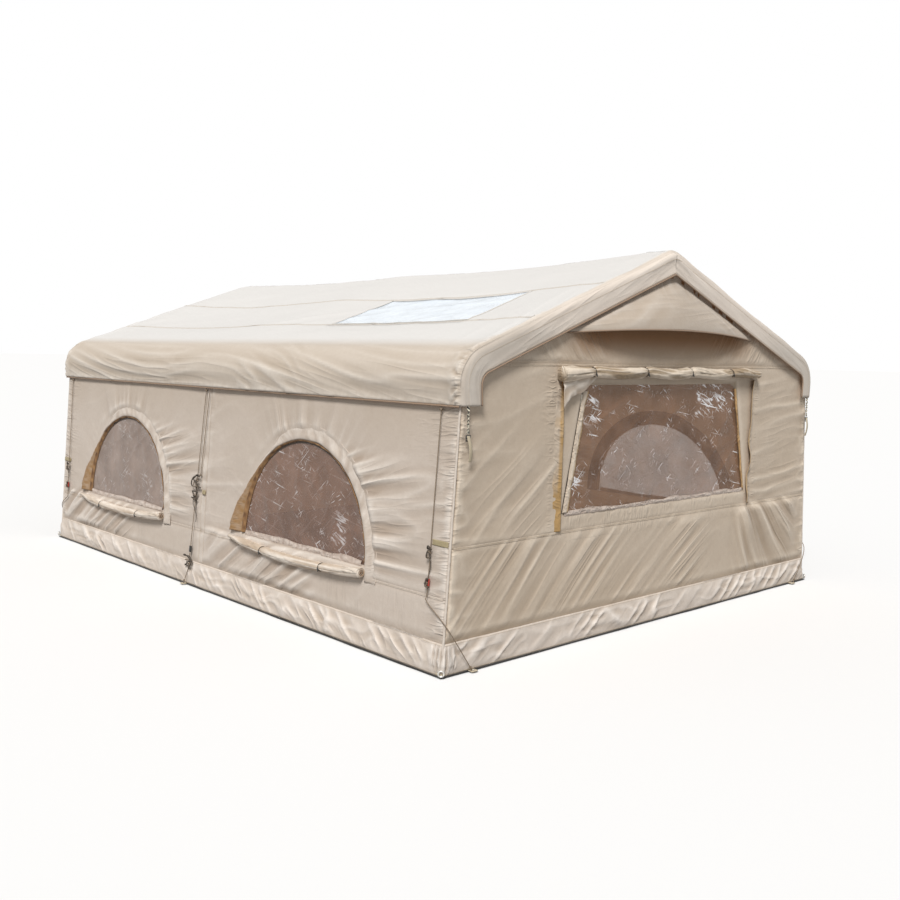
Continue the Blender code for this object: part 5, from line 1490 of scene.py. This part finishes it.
def sectionHalf(x, sideIn, roofIn, foot, eaveRadius, ridgeRadius, flyCut, sagging, counts):
    ridge = float(ridgeAt(np.array(x), sagging))
    low, eave, apex, pitch = houseCorners(ridge, sideIn, roofIn, foot, flyCut)
    bend = rounded(low, eave, apex, eaveRadius, counts["bend"])
    top = rounded(eave, apex, (-eave[0], eave[1]), ridgeRadius, 2 * counts["ridge"])
    top = top[:counts["ridge"] + 1]
    straight = np.linspace(low, bend[0], counts["side"] + 1)[:-1]
    stops = [bend[-1][0], skylight["low"], skylight["high"], top[0][0]]
    ys = [np.linspace(stops[k], stops[k + 1], n + 1)[1:] for k, n in enumerate(counts["slope"])]
    ys = np.concatenate(ys)[:-1]
    share = np.clip((house["slopeLow"] - ys) / (house["slopeLow"] - house["slopeHigh"]), 0, 1)
    drop = house["slopeSag"] * float(bayShare(np.array(x))) * np.sin(math.pi * share)
    slope = np.stack((ys, apex[1] - pitch * ys - (drop if sagging else 0.0)), -1)
    return np.vstack((straight, bend, slope, top))


nearCounts = {"side": 10, "bend": 24, "slope": (8, 26, 14), "ridge": 7}
farCounts = {"side": 5, "bend": 14, "slope": (5, 15, 9), "ridge": 7}
canopyCounts = {"side": 3, "bend": 10, "slope": (4, 10, 5), "ridge": 6}


# Row of points over the whole roof at one place along it, from the near hem to the far one
def sectionRow(x, *sizes, near=nearCounts, far=farCounts):
    one, two = (sectionHalf(x, *sizes, counts) for counts in (near, far))
    whole = np.vstack((one * mirrored, two[::-1][1:]))
    return np.column_stack((np.full(len(whole), x), whole))


# Points between some stops along the roof, so many in each stretch
def stations(*stops):
    parts = [np.linspace(low, high, count) for (low, _), (high, count) in zip(stops, stops[1:])]
    return np.concatenate([parts[0]] + [part[1:] for part in parts[1:]])


def flyRows():
    shoulder = house["shoulder"]
    rings = [(house["flyEnd"] - shoulder + shoulder * math.sin(a), shoulder * (1 - math.cos(a)))
        for a in np.linspace(0.0, math.pi / 2, 7)[1:]]
    rings += [(house["flyEnd"], inset) for inset in np.linspace(shoulder, house["band"], 9)[1:]]
    edge = fly["edge"]
    main = stations((-edge, 0), (-edge + fly["fine"], 25), (skylight["start"], 180),
        (skylight["end"], 96), (edge - fly["fine"], 20), (edge, 48))
    rear, front = ([sectionRow(end * x, inset, inset, house["hemHeight"], fly["eave"] - inset,
        fly["ridge"] - inset, True, False) for x, inset in rings] for end in (-1.0, 1.0))
    rows = [sectionRow(x, 0.0, 0.0, house["hemHeight"], fly["eave"], fly["ridge"], True, True)
        for x in main]
    return np.array(rear[::-1] + rows + front), len(rings)


def gridNormals(points):
    normal = np.cross(np.gradient(points, axis=0), np.gradient(points, axis=1))
    return normal / np.maximum(np.linalg.norm(normal, axis=2), 1e-9)[..., None]


def flyLift(points, ends):
    x = points[..., 0]
    y = points[..., 1]
    run = travelled(points.transpose(1, 0, 2)).T
    w = np.minimum(run, run[:, -1:] - run)
    side = np.where(y < 0, 0.0, 23.0)
    edge = fly["edge"] - np.abs(x)
    inward = np.clip(edge, 0.0, None)
    rollMask = ease((0.5 - w) / 0.18)
    slope = 1 - rollMask
    lowMask = rollMask * (0.25 + 0.75 * ease((0.27 - w) / 0.16))
    drawn = w + 0.1 * x - 0.05 * np.sin(x * 1.9 + 1.0)
    lift = fly["roll"] * crest(folds(x, drawn, 0.0, 0.075, 1.05, side + 1.0), 1.7) * lowMask
    lift = lift + (0.7 * fly["roll"] * crest(folds(x, drawn, -0.22, 0.05, 0.45, side + 7.0), 2.2)
        * lowMask * ease(grain(x / 0.6 + side, w) + 0.2))
    lift = lift + fly["cloth"] * crest(folds(x, w, 0.25, 0.16, 0.9, side + 3.0), 1.6) * slope
    lift = lift + (0.8 * fly["cloth"] * crest(folds(x, w, -0.5, 0.12, 0.6, side + 9.0), 2.0) * slope
        * ease(grain(x / 0.8, w / 0.6 + side) + 0.3))
    tucks = crest(grain(w / 0.026 + side + 0.6 * grain(edge / 0.04, w / 0.05), edge / 0.11), 1.3)
    tucks = tucks * np.exp(-inward / 0.06) * ease((edge + 0.012) / 0.014)
    lift = lift + (fly["gather"] * tucks * (0.35 + 0.65 * ease((0.55 - w) / 0.15))
        * np.where(x > 0, 1.0, 0.4))
    beside = crest(folds(w, edge, 0.12, 0.045, 0.55, side + 12.0), 1.6)
    lift = lift + (0.8 * fly["roll"] * beside * slope * np.exp(-inward / 0.2)
        * ease(grain(w / 0.5 + side, edge) + 0.6))
    pucker = crest(grain(x / 0.026 + side, w / 0.05), 1.4)
    lift = lift + fly["hemPucker"] * pucker * np.exp(-w / 0.03) * ease(w / 0.004)
    band = ease(-edge / 0.03)
    flat = 1 - band
    wave = crest(grain(w / 0.1 + side + 5 + 24.0 * np.clip(-edge, 0, 1), np.abs(x) * 9), 1.5)
    inset = np.zeros_like(x)
    inset[:ends] = np.linspace(1.0, 0.0, ends)[:, None]
    inset[-ends:] = np.linspace(0.0, 1.0, ends)[:, None]
    wave = 0.5 * wave + crest(grain(inset * 3.2 + w * 1.6 + side, w / 0.45 + side), 1.5)
    ruffle = fly["ruffle"] * (0.35 + 0.65 * ease((w - 1.2) / 0.5))
    lift = lift * flat + wave * band * np.sin(math.pi * inset * 0.9) * ruffle
    seam = np.minimum(np.abs(np.abs(y) - skylight["low"]), np.abs(np.abs(y) - skylight["high"]))
    lift = lift - 0.0012 * np.exp(-(seam / 0.02) ** 2) * flat
    lift[:, [0, -1]] *= 0.2
    marks = finest((w / 0.026 + side, edge / 0.11, 0.0095 * (0.35 + 0.65 * np.exp(-w / 0.5)) * flat
        * np.exp(-inward / 0.06)), (drawn / 0.055 + side, x / 0.75, 0.004 * lowMask * flat),
        ((edge + 0.25 * w) / 0.05 + side, w / 0.6, 0.0034 * slope * np.exp(-inward / 0.25) * flat),
        (inset * 3.6 + w * 2.2 + side, w / 0.5, 0.0022 * band),
        (x / 0.026 + side, w / 0.05, 0.0026 * np.exp(-w / 0.035) * flat),
        ((w - 0.3 * x) / 0.09, x / 0.8, 0.0014 * slope * flat))
    return lift, w, marks


# Faces of a roof grid that lie in the skylight's opening
def inSkylight(points):
    x = betweenFaces(points[..., 0])
    y = betweenFaces(points[..., 1])
    return ((x > skylight["start"]) & (x < skylight["end"]) & (y > -skylight["low"])
        & (y < -skylight["high"]))


def makeFly():
    points, ends = flyRows()
    lift, w, marks = flyLift(points, ends)
    raised = points + gridNormals(points) * lift[..., None]
    edge = fly["edge"] - np.abs(raised[..., 0])
    # painted highlight: roof slopes above the eave roll and the end bands made paler
    paintedPaleTop = (ease((w - 0.3) / 0.16) * ease((edge + 0.012) / 0.02) + 0.22 * ease(-edge / 0.025))
    marks["paintedLight"] = 0.5 * ease((w - 0.45) / 0.5) * ease(-edge / 0.025)
    shut = ~inSkylight(raised)
    ridge = int(np.argmax(points[len(points) // 2, :, 2]))
    index = np.arange(shut.shape[1])
    for name, kept in (("near", index < ridge), ("far", index >= ridge)):
        cloth = gridPiece("rain_fly_cloth_" + name, raised, [flyCanvas, glowingLining],
            ["rain_fly"], keep=kept & shut, lift=lift, thickness=0.0036, tintAndPaintedLight=paintedPaleTop, extra=marks,
            foldSize=0.004)
    return raised, gridNormals(raised), ends


def makeSeams(grid, normals, ends):
    for name, column in (("near", 0), ("far", -1)):
        span = slice(ends - 1, len(grid) - ends + 1)
        line = grid[span, column] + normals[span, column] * 0.002 - (0, 0, 0.0015)
        sweep(f"fly_hem_piping_{name}", line, 0.0042, pipingTape, 8)
    for name, row, step in (("front", len(grid) - 1, -1), ("rear", 0, 1)):
        sweep(f"fly_band_piping_{name}", grid[row] + normals[row] * 0.002, 0.0038,
            pipingTape, 8)
        shoulder = row + step * 8
        sewAlong(grid[shoulder - step] + normals[shoulder] * 0.001)
        sewAlong(grid[row + step] + normals[row + step] * 0.001)
    columns = [k for k, y in enumerate(grid[len(grid) // 2, :, 1])
        if min(abs(abs(y) - skylight["low"]), abs(abs(y) - skylight["high"])) < 0.006]
    for k, column in enumerate(columns):
        line = grid[ends:len(grid) - ends, column]
        out = normals[ends:len(grid) - ends, column]
        down = unitRows(grid[ends:len(grid) - ends, column + 1] - line)
        offsets = np.array((-0.009, -0.007, 0.0, 0.007, 0.009))[:, None]
        rise = np.array((0.0004, 0.0011, 0.0012, 0.0011, 0.0004))[:, None]
        strip = line[:, None] + down[:, None] * offsets + out[:, None] * rise
        gridPiece(f"fly_seam_tape_{k}", strip, [flyTape])
        sewAlong(strip[:, 1] + out * 0.0004)
        sewAlong(strip[:, 3] + out * 0.0004)


def makeSkylight(grid, normals):
    xs = grid[:, 40, 0]
    rows = np.where((xs > skylight["start"] - 0.02) & (xs < skylight["end"] + 0.02))[0]
    ys = grid[rows[0], :, 1]
    columns = np.where((ys > -skylight["low"] - 0.012) & (ys < -skylight["high"] + 0.03))[0]
    patch, out = (values[rows[0]:rows[-1] + 1, columns[0]:columns[-1] + 1] for values in (grid, normals))
    ripple = 0.0022 * crest(folds(patch[..., 0], patch[..., 1], 0.3, 0.12, 0.5, 4.0), 2.0)
    pane = gridPiece("skylight_pane", patch + out * (ripple - 0.003)[..., None], [skylightSkyReflection],
        ["skylight_film"], lift=ripple)
    rim, above = (np.vstack((part[1:-1, 1], part[-2, 1:-1], part[-2:0:-1, -2], part[1, -2:1:-1]))
        for part in (patch, out))
    sweep("skylight_piping", rim + above * 0.0012, 0.0034, flyTape, 6, closed=True)
    net = gridPiece("skylight_net_cloth", patch - out * 0.0095, [netCloth], ["skylight_net"])


def makeCanopy():
    edge = 2.2955
    xs = stations((-edge, 0), (skylight["start"], 66), (skylight["end"], 30), (edge, 12))
    points = np.array([sectionRow(x, 0.001, 0.0058, 1.3312, 0.194, 0.239, False, True, near=canopyCounts,
        far=canopyCounts) for x in xs])
    x = points[..., 0]
    slack = 0.004 * crest(folds(x, points[..., 1], 0.3, 0.2, 0.6, 6.0), 1.5) + 0.002
    points = points - gridNormals(points) * (slack * bayShare(x))[..., None]
    canopy = gridPiece("roof_canopy_cloth", points, [glowingLining], ["roof_canopy"],
        keep=~inSkylight(points), lift=slack, thickness=0.003)


flyTape = clothFinish("fly seam tape", (0.66, 0.63, 0.6), (0.7, 0.68, 0.65), (0.58, 0.54, 0.49),
    pitch=0.0014)
flyParts = makeFly()
makeSeams(*flyParts)
makeSkylight(*flyParts[:2])
makeCanopy()
print("roof made")


# Air beams in their sleeves
beams = {"arch": 0.075, "ridge": 0.05, "eave": 0.06, "side": 0.0798, "depth": 0.0846, "eaveBend": 0.115,
    "ridgeBend": 0.16, "gap": 0.06}


def archPath(x):
    ridge = float(ridgeAt(np.array(x)))
    foot = floorTop + beams["arch"] * math.sin(leanAngle)
    low, eave, apex, _ = houseCorners(ridge, beams["side"], beams["depth"], foot)
    bend = rounded(low, eave, apex, beams["eaveBend"], 14)
    top = rounded(eave, apex, (-eave[0], eave[1]), beams["ridgeBend"], 16)
    side = np.linspace(low, bend[0], 40)[:-1]
    slope = np.linspace(bend[-1], top[0], 50)[1:-1]
    half = np.vstack((side, bend, slope))
    whole = np.vstack((half * mirrored, top[::-1], half[::-1]))
    return np.column_stack((np.full(len(whole), x), whole)), bend[7], top[8]


# Sleeve blown up round a line: a round tube whose cloth is creased by noise, its creases marked for the
# finish's painted shade
def beamTree():
    tree, source, sink = newTree("air beam", {"Radius": 0.075, "Crease": 0.0045, "Pitch": 9.0,
        "Sides": 28})
    curve = addTool(tree, "MeshToCurve", Mesh=source.outputs["Geometry"])
    circle = addTool(tree, "CurvePrimitiveCircle", Resolution=source.outputs["Sides"],
        Radius=source.outputs["Radius"])
    tube = addTool(tree, "CurveToMesh", Curve=curve.outputs["Curve"],
        **{"Profile Curve": circle.outputs["Curve"], "Fill Caps": True})
    noise = addNode(tree, "TexNoise", Detail=2.0)
    tree.links.new(source.outputs["Pitch"], noise.inputs["Scale"])
    centred = mathOf(tree, "SUBTRACT", noise.outputs["Fac"], 0.72)
    depth = mathOf(tree, "MULTIPLY", centred, source.outputs["Crease"])
    normal = tree.nodes.new("GeometryNodeInputNormal")
    push = addNode(tree, "VectorMath", operation="SCALE")
    tree.links.new(normal.outputs["Normal"], push.inputs[0])
    tree.links.new(depth, push.inputs["Scale"])
    creased = addTool(tree, "SetPosition", Geometry=tube.outputs["Mesh"], Offset=push.outputs["Vector"])
    marked = addTool(tree, "StoreNamedAttribute", Geometry=creased.outputs["Geometry"], Name="fold",
        Value=mathOf(tree, "MULTIPLY", centred, 4.0))
    soft = addTool(tree, "SetShadeSmooth", Geometry=marked.outputs["Geometry"])
    finishTree(tree, soft.outputs["Geometry"], source, sink)
    return tree


def makeBeams():
    tree = beamTree()
    spots = {}
    for name, x in (("front", house["archEnd"]), ("middle", 0.0), ("rear", -house["archEnd"])):
        path, eave, ridge = archPath(x)
        arch = grown(f"arch_sleeve_{name}", "air_beam", tree, [path], beamSleeve, ["arch_beam_" + name],
            Radius=beams["arch"])
        spots[name] = {"ridge_": (x, 0.0, ridge[1]), "eave_near_": (x, -eave[0], eave[1]),
            "eave_far_": (x, eave[0], eave[1])}
    for end in ("front", "rear"):
        for kind, size in (("ridge_", "ridge"), ("eave_near_", "eave"), ("eave_far_", "eave")):
            start = np.array(spots["middle"][kind])
            run = np.array(spots[end][kind]) - start
            step = unitRows(run) * beams["gap"]
            node = (kind + end).replace(size, size + "_beam")
            beam = grown(node.replace("beam", "sleeve"), "air_beam", tree,
                [np.linspace(start + step, start + run - step, 70)], beamSleeve, [node],
                Radius=beams[size], Sides=22)


makeBeams()
print("air beams made")


# Mud skirt, ground sheet and its tabs
skirt = {"top": 0.162, "cloth": 0.003, "flare": 0.008, "corner": 0.018, "fold": 0.015, "rows": 19,
    "sides": (560, 400, 300, 240), "blend": 12}


def skirtRing(height, flare):
    r = skirt["corner"]
    x = house["halfLength"] + flare + skirt["cloth"] - r
    y = wallReach(height) + flare + skirt["cloth"] - r
    corners = [arcOf((sx * x, sy * y), r, start * math.pi / 2, (start + 1) * math.pi / 2, 6)
        for sx, sy, start in ((1, -1, -1), (1, 1, 0), (-1, 1, 1), (-1, -1, 2))]
    pieces = []
    for k, count in enumerate(skirt["sides"]):
        pieces.append(np.linspace(corners[k - 1][-1], corners[k][0], count + 1)[:-1])
        pieces.append(corners[k])
    ring = np.vstack(pieces + [pieces[0][:1]])
    return np.column_stack((ring, np.full(len(ring), height)))


def makeSkirt():
    top = skirt["top"]
    foot = floorTop + skirt["cloth"] * (skirt["flare"] / top + house["lean"])
    points = np.stack([skirtRing(height, 0.0004 + (skirt["flare"] - 0.0004)
        * (top - height) / (top - foot)) for height in np.linspace(foot, top, skirt["rows"])], 1)
    normals = gridNormals(points)
    s = travelled(points[:, 7])[:, None] * np.ones((1, skirt["rows"]))
    v = points[..., 2]
    bulge = np.sin(math.pi * np.clip((v - foot) / (top - foot), 0, 1)) ** 0.7
    lean = 0.9 * np.tanh((s - 2 * house["halfLength"]) / 0.03)
    across, along = turned(v, s, lean)
    slanted = crest(grain(across / 0.055 + 3, along / 0.3), 2.6)
    lumps = crest(grain(s / 0.075 + 1 + v / 0.15, v / 0.06 + 2), 2.2)
    level = crest(grain(v / 0.036 + 6 + 0.8 * grain(s / 0.12, v / 0.1), s / 0.22), 2.2)
    lift = bulge * skirt["fold"] * (1.0 * slanted + 0.15 * lumps + 0.45 * level)
    lift = lift * (0.45 + 0.55 * ease(grain(s / 0.6, 0.0) + 0.7)) + 0.001
    lift[-1] = lift[0]
    blend = np.linspace(0.0, 1.0, skirt["blend"])[:, None]
    lift[-skirt["blend"]:] = lift[-skirt["blend"]:] * (1 - blend) + lift[0] * blend
    raised = points + normals * lift[..., None]
    raised[-1] = raised[0]
    patch = ease(grain(s / 0.35 + 4, v / 0.2) * 2)
    marks = finest((across / 0.062 + 0.5 * grain(s / 0.4, v / 0.2), along / 0.26,
        bulge * 0.008 * (0.15 + 0.85 * patch)), (s / 0.02, v / 0.05, 0.002 * np.exp(-(top - v) / 0.02)))
    cloth = gridPiece("mud_skirt_cloth", raised, [skirtCanvas], ["mud_skirt"], lift=lift,
        thickness=0.0026, tintAndPaintedLight=muddy(s, v) * 0.8, extra=marks, foldSize=0.006)
    for row in (-2, 1):
        sewAlong(raised[:, row] + normals[:, row] * 0.0006)


ground = {"thick": 0.006, "border": 0.016, "ear": 0.032, "eyelet": 0.006, "hem": 0.008}


def hemmed(inner, count):
    edge = inner + ground["border"]
    fold = edge - ground["hem"]
    return np.concatenate(([-edge, -fold], np.linspace(-inner, inner, count), [fold, edge]))


def makeGroundsheet():
    bx = house["halfLength"] + ground["border"]
    by = house["footHalfWidth"] + ground["border"]
    u, v = gridOf(hemmed(house["halfLength"], 150), hemmed(house["footHalfWidth"], 110))
    gap = np.minimum(bx - np.abs(u), by - np.abs(v))
    edge = ease((0.03 - gap) / 0.024)
    lift = 0.0035 * (0.5 + 0.5 * grain(u / 0.11, v / 0.11)) * edge - 0.0002
    inner = 0.0012 * crest(folds(u, v, 0.4, 0.3, 1.0, 2.0), 2.0) * (1 - edge)
    z = ground["thick"] - 0.0006 + lift * 0.9 + inner * 0.3
    waver = 0.003 * grain(u / 0.18 + 3, v / 0.18) * edge
    points = np.stack((u * (1 - waver / bx), v * (1 - waver / by), z), -1)
    sheet = gridPiece("ground_cloth_sheet", points, [groundCloth], ["groundsheet"],
        lift=lift * 2, thickness=0.0045)


tab = {"hole": 0.0065, "ring": 0.0085, "ringThick": 0.0021, "thickness": 0.0024, "round": 0.35}


# Peg tab round its eyelet: webbing with a metal ring
def makeTab(name, centre, wide, deep):
    turns = np.linspace(0.0, 2 * math.pi, 49)
    c = np.cos(turns)
    s = np.sin(turns)
    edgeX = wide * np.sign(c) * np.abs(c) ** tab["round"]
    edgeY = deep * np.sign(s) * np.abs(s) ** tab["round"]
    rows = [np.column_stack(((1 - t) * tab["hole"] * c + t * edgeX + centre[0],
        (1 - t) * tab["hole"] * s + t * edgeY + centre[1], np.full(len(c),
        0.0064 + 0.0016 * math.sin(math.pi * min(t + 0.15, 1.0))))) for t in (0.0, 0.3, 0.65, 1.0)]
    gridPiece("peg_tab_" + name, np.stack(rows, 1), [webbing], thickness=tab["thickness"])
    ring = np.column_stack((centre[0] + tab["ring"] * c, centre[1] + tab["ring"] * s,
        np.full(len(c), 0.0086)))[:-1]
    sweep("eyelet_" + name, ring, tab["ringThick"], eyeletMetal, 10, closed=True)


def makeTabs():
    reach = ground["border"] + ground["ear"] - 2 * ground["eyelet"] - 0.006
    for side, sideName in bothSides:
        for end, endName in bothEnds:
            makeTab(f"{sideName}_{endName}", (end * (house["halfLength"] + reach),
                side * ropes["footY"]), 0.018, 0.021)
        makeTab(f"{sideName}_middle", (ropes["middleFoot"], side * (house["footHalfWidth"] + reach)),
            0.021, 0.018)


makeSkirt()
makeGroundsheet()
makeTabs()
print("base made")


# Door leaf and its zip
def doorLift(u, v):
    lift = 0.003 * (1 + grain(u / 0.5 + 3, v / 0.6))
    lift = lift + 0.006 * crest(folds(u, v, 1.25, 0.085, 0.7, 40.0), 1.5)
    lift = lift + 0.003 * crest(folds(u, v, 0.4, 0.09, 0.4, 44.0), 1.7)
    lap = door["lap"]
    gap = np.minimum(door["half"] + lap - np.abs(u), np.minimum(door["head"] + lap - v,
        v - door["sill"] + lap))
    lift = lift + 0.004 * gathers(gap - 0.02, v + u, 0.036, 0.04, 45.0)
    return lift * ease(gap / 0.04)


# The zip runs along the door's foot, up its free side and round its head
def makeDoor():
    place = gablePlace(-1.0) @ Matrix.Translation((0.0, 0.0, 0.0084))
    loop = doorLoop(door["lap"])
    leaf = clothPanel("door_leaf_cloth", ["door_panel"], loop, [], place, doorLift, 0.013,
        [gableShadedCanvas, glowingLining], 0.003, muddy, body="door")
    half, low, high, bends = doorBends(door["lap"] - 0.01, math.pi * 0.98, 16)
    track = np.vstack((np.linspace((-half + 0.03, low), (half, low), 60),
        np.linspace((half, low), (half, high), 80)[1:-1], bends))
    makeZip("door_zip_{}", place, track, 0.0012, body="door", Radius=0.0036)


makeDoor()
print("door made")


strap = {"inset": 0.045, "half": 0.0085, "top": 1.318, "low": 1.168, "tailTop": 1.16, "tailLow": 1.035,
    "tailHalf": 0.0095, "threads": (-1.0, -0.33, 0.33, 1.0)}


# Webbing that hangs twisted from each corner of the fly, and its tail below the buckle
def makeStraps():
    heights = np.linspace(strap["top"], strap["low"], 60)
    tails = np.linspace(strap["tailTop"], strap["tailLow"], 30)
    twist = 5.0 * math.pi * ease((1.3 - heights) / 0.12)
    share = (strap["tailTop"] - tails) / (strap["tailTop"] - strap["tailLow"])
    for side, end, name in sorted(houseFeet, key=lambda foot: -foot[1]):
        y = side * (house["flyHemHalfWidth"] - strap["inset"])
        x = end * (house["flyEnd"] - 0.0035)
        rows = [np.stack((x + end * 0.6 * strap["half"] * t * np.sin(twist),
            y + strap["half"] * t * np.cos(twist), heights), -1) for t in strap["threads"]]
        gridPiece(f"corner_strap_{name}", np.stack(rows, 1), [strapWeave], thickness=0.002)
        rows = [np.stack((x + end * (0.004 + 0.012 * np.sin(3 * share)),
            y - side * 0.012 * share + strap["tailHalf"] * t, tails), -1) for t in strap["threads"]]
        gridPiece(f"corner_strap_tail_{name}", np.stack(rows, 1), [webbing],
            body=f"buckle_{name}", thickness=0.0018)


wallTab = {"corner": 0.64, "middle": 0.625, "half": 0.06, "tall": 0.014}


# Webbing sewn on the wall behind a rope
def makeWallTabs():
    corner = house["halfLength"] - wallTab["half"] - 0.004
    for side, sideName in bothSides:
        for endName, middle, height, half in (("front", corner, wallTab["corner"], wallTab["half"]),
                ("rear", -corner, wallTab["corner"], wallTab["half"]),
                ("middle", ropes["middleTop"] + 0.028, wallTab["middle"], 0.35 * wallTab["half"])):
            u, v = gridOf(np.linspace(-half, half, 14), np.linspace(-wallTab["tall"], wallTab["tall"], 7))
            out = 0.015 + 0.0012 * grain(u / 0.02, v / 0.02) - 0.004 * (u / half) ** 4
            points = onPlane(wallPlace(side), -side * middle + u, height + v, out)
            gridPiece(f"wall_tab_{sideName}_{endName}", points, [oliveWebbing],
                thickness=0.0016)
            for row in (1, -2):
                sewAlong(points[row] + (0.0, side * 0.0004, 0.0))


foot = {"out": 0.0135, "half": 0.04, "low": 0.012, "high": 0.046, "ring": 0.0135, "ringThick": 0.004,
    "ringHeight": 0.026}


# Webbing wrapped round each foot of the house, with a peg ring on it
def makeFootPatches():
    reach = np.linspace(-1.0, 1.0, 31)
    run = np.abs(reach) * foot["half"]
    _, c, s = ringOf(40, foot["ring"])
    for side, end, name in houseFeet:
        x = end * (house["halfLength"] + foot["out"])
        y = side * (house["footHalfWidth"] + foot["out"])
        row = np.stack((x - end * np.where(reach > 0, run, 0.0),
            y - side * np.where(reach < 0, run, 0.0)), -1)
        rows = [np.column_stack((row * (1 - 0.0016 * k), np.full(31, height)))
            for k, height in enumerate(np.linspace(foot["low"], foot["high"], 6))]
        gridPiece(f"foot_patch_{name}", np.stack(rows, 1), [webbing], thickness=0.0016)
        out = np.array((end, side, 0.0)) / math.sqrt(2)
        across = np.array((-side * end, 1.0, 0.0)) / math.sqrt(2)
        ring = (x, y, foot["ringHeight"]) + out * 0.004 + np.outer(c, across) + np.outer(s, (0, 0, 1))
        sweep(f"foot_ring_{name}", ring, foot["ringThick"], eyeletMetal, 10, closed=True)


oliveWebbing = clothFinish("olive webbing", (0.42, 0.35, 0.2), (0.5, 0.43, 0.27), (0.26, 0.2, 0.11),
    pitch=0.0012)
strapWeave = ropeFinish("strap weave", (0.03, 0.03, 0.03), (0.74, 0.68, 0.54), 0.016)
makeStraps()
makeWallTabs()
makeFootPatches()
for name, finish in (("buckle", blackPlastic), ("tensioner", redPlastic), ("window_slider", zipMetal),
        ("gable_slider", zipMetal), ("door_slider", zipMetal), ("valve_body", blackPlastic),
        ("valve_cap", blackPlastic), ("valve_plunger", redPlastic)):
    for node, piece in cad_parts.items():
        if node.startswith(name):
            for slot in piece.material_slots:
                slot.material = blackPlastic if node.endswith("middle") else finish
print("fittings made")


# Every sewn line's stitches, a piece for each body and each few metres of seam
def makeStitches():
    for body, lines in stitchLines.items():
        for k in range(0, len(lines), 10):
            grown(f"stitches_{body}_{k // 10}", "fly_canvas", rods, lines[k:k + 10], stitchThread,
                body=body, Pitch=0.007, Radius=0.0007, Length=0.0045, Sides=4)


makeStitches()
print("stitches made")


# Floor, backdrop and lights
studio = {"floorSeen": 0.86, "floorLit": 0.36, "sky": 0.37, "sun": 3.25, "softness": 18.0,
    "sunFrom": (0.42, -0.56, 0.8)}


def makeStudio():
    bpy.ops.mesh.primitive_plane_add(size=400.0, location=(0.0, 0.0, -0.002))
    floor = bpy.context.object
    floor.name = "studio_floor"
    seen = (studio["floorSeen"],) * 3
    finish, tree, shader = newFinish("studio floor", seen, 0.95)
    shader.inputs["Specular IOR Level"].default_value = 0.0
    tree.links.new(mixColor(tree, shownTo(tree), (studio["floorLit"],) * 3, seen),
        shader.inputs["Base Color"])
    floor.data.materials.append(finish)
    world = bpy.data.worlds.new("studio")
    world.use_nodes = True
    bpy.context.scene.world = world
    tree = world.node_tree
    back = tree.nodes["Background"]
    back.inputs["Color"].default_value = (1.0, 1.0, 1.0, 1.0)
    tree.links.new(spanned(tree, shownTo(tree), 0.0, 1.0, studio["sky"], 1.0), back.inputs["Strength"])
    data = bpy.data.lights.new("key", "SUN")
    data.energy = studio["sun"]
    data.angle = math.radians(studio["softness"])
    data.color = (1.0, 0.99, 0.975)
    lamp = bpy.data.objects.new("key", data)
    bpy.context.collection.objects.link(lamp)
    lamp.location = Vector(studio["sunFrom"]) * 8.0
    lamp.rotation_euler = Vector(studio["sunFrom"]).to_track_quat("Z", "Y").to_euler()


# Rays that should find the background white: the camera's, and those from metal and film
def shownTo(tree):
    rays = addNode(tree, "LightPath").outputs
    through = mathOf(tree, "MAXIMUM", rays["Is Glossy Ray"], rays["Is Transmission Ray"])
    return mathOf(tree, "MAXIMUM", rays["Is Camera Ray"], through)


makeStudio()
print("studio made")
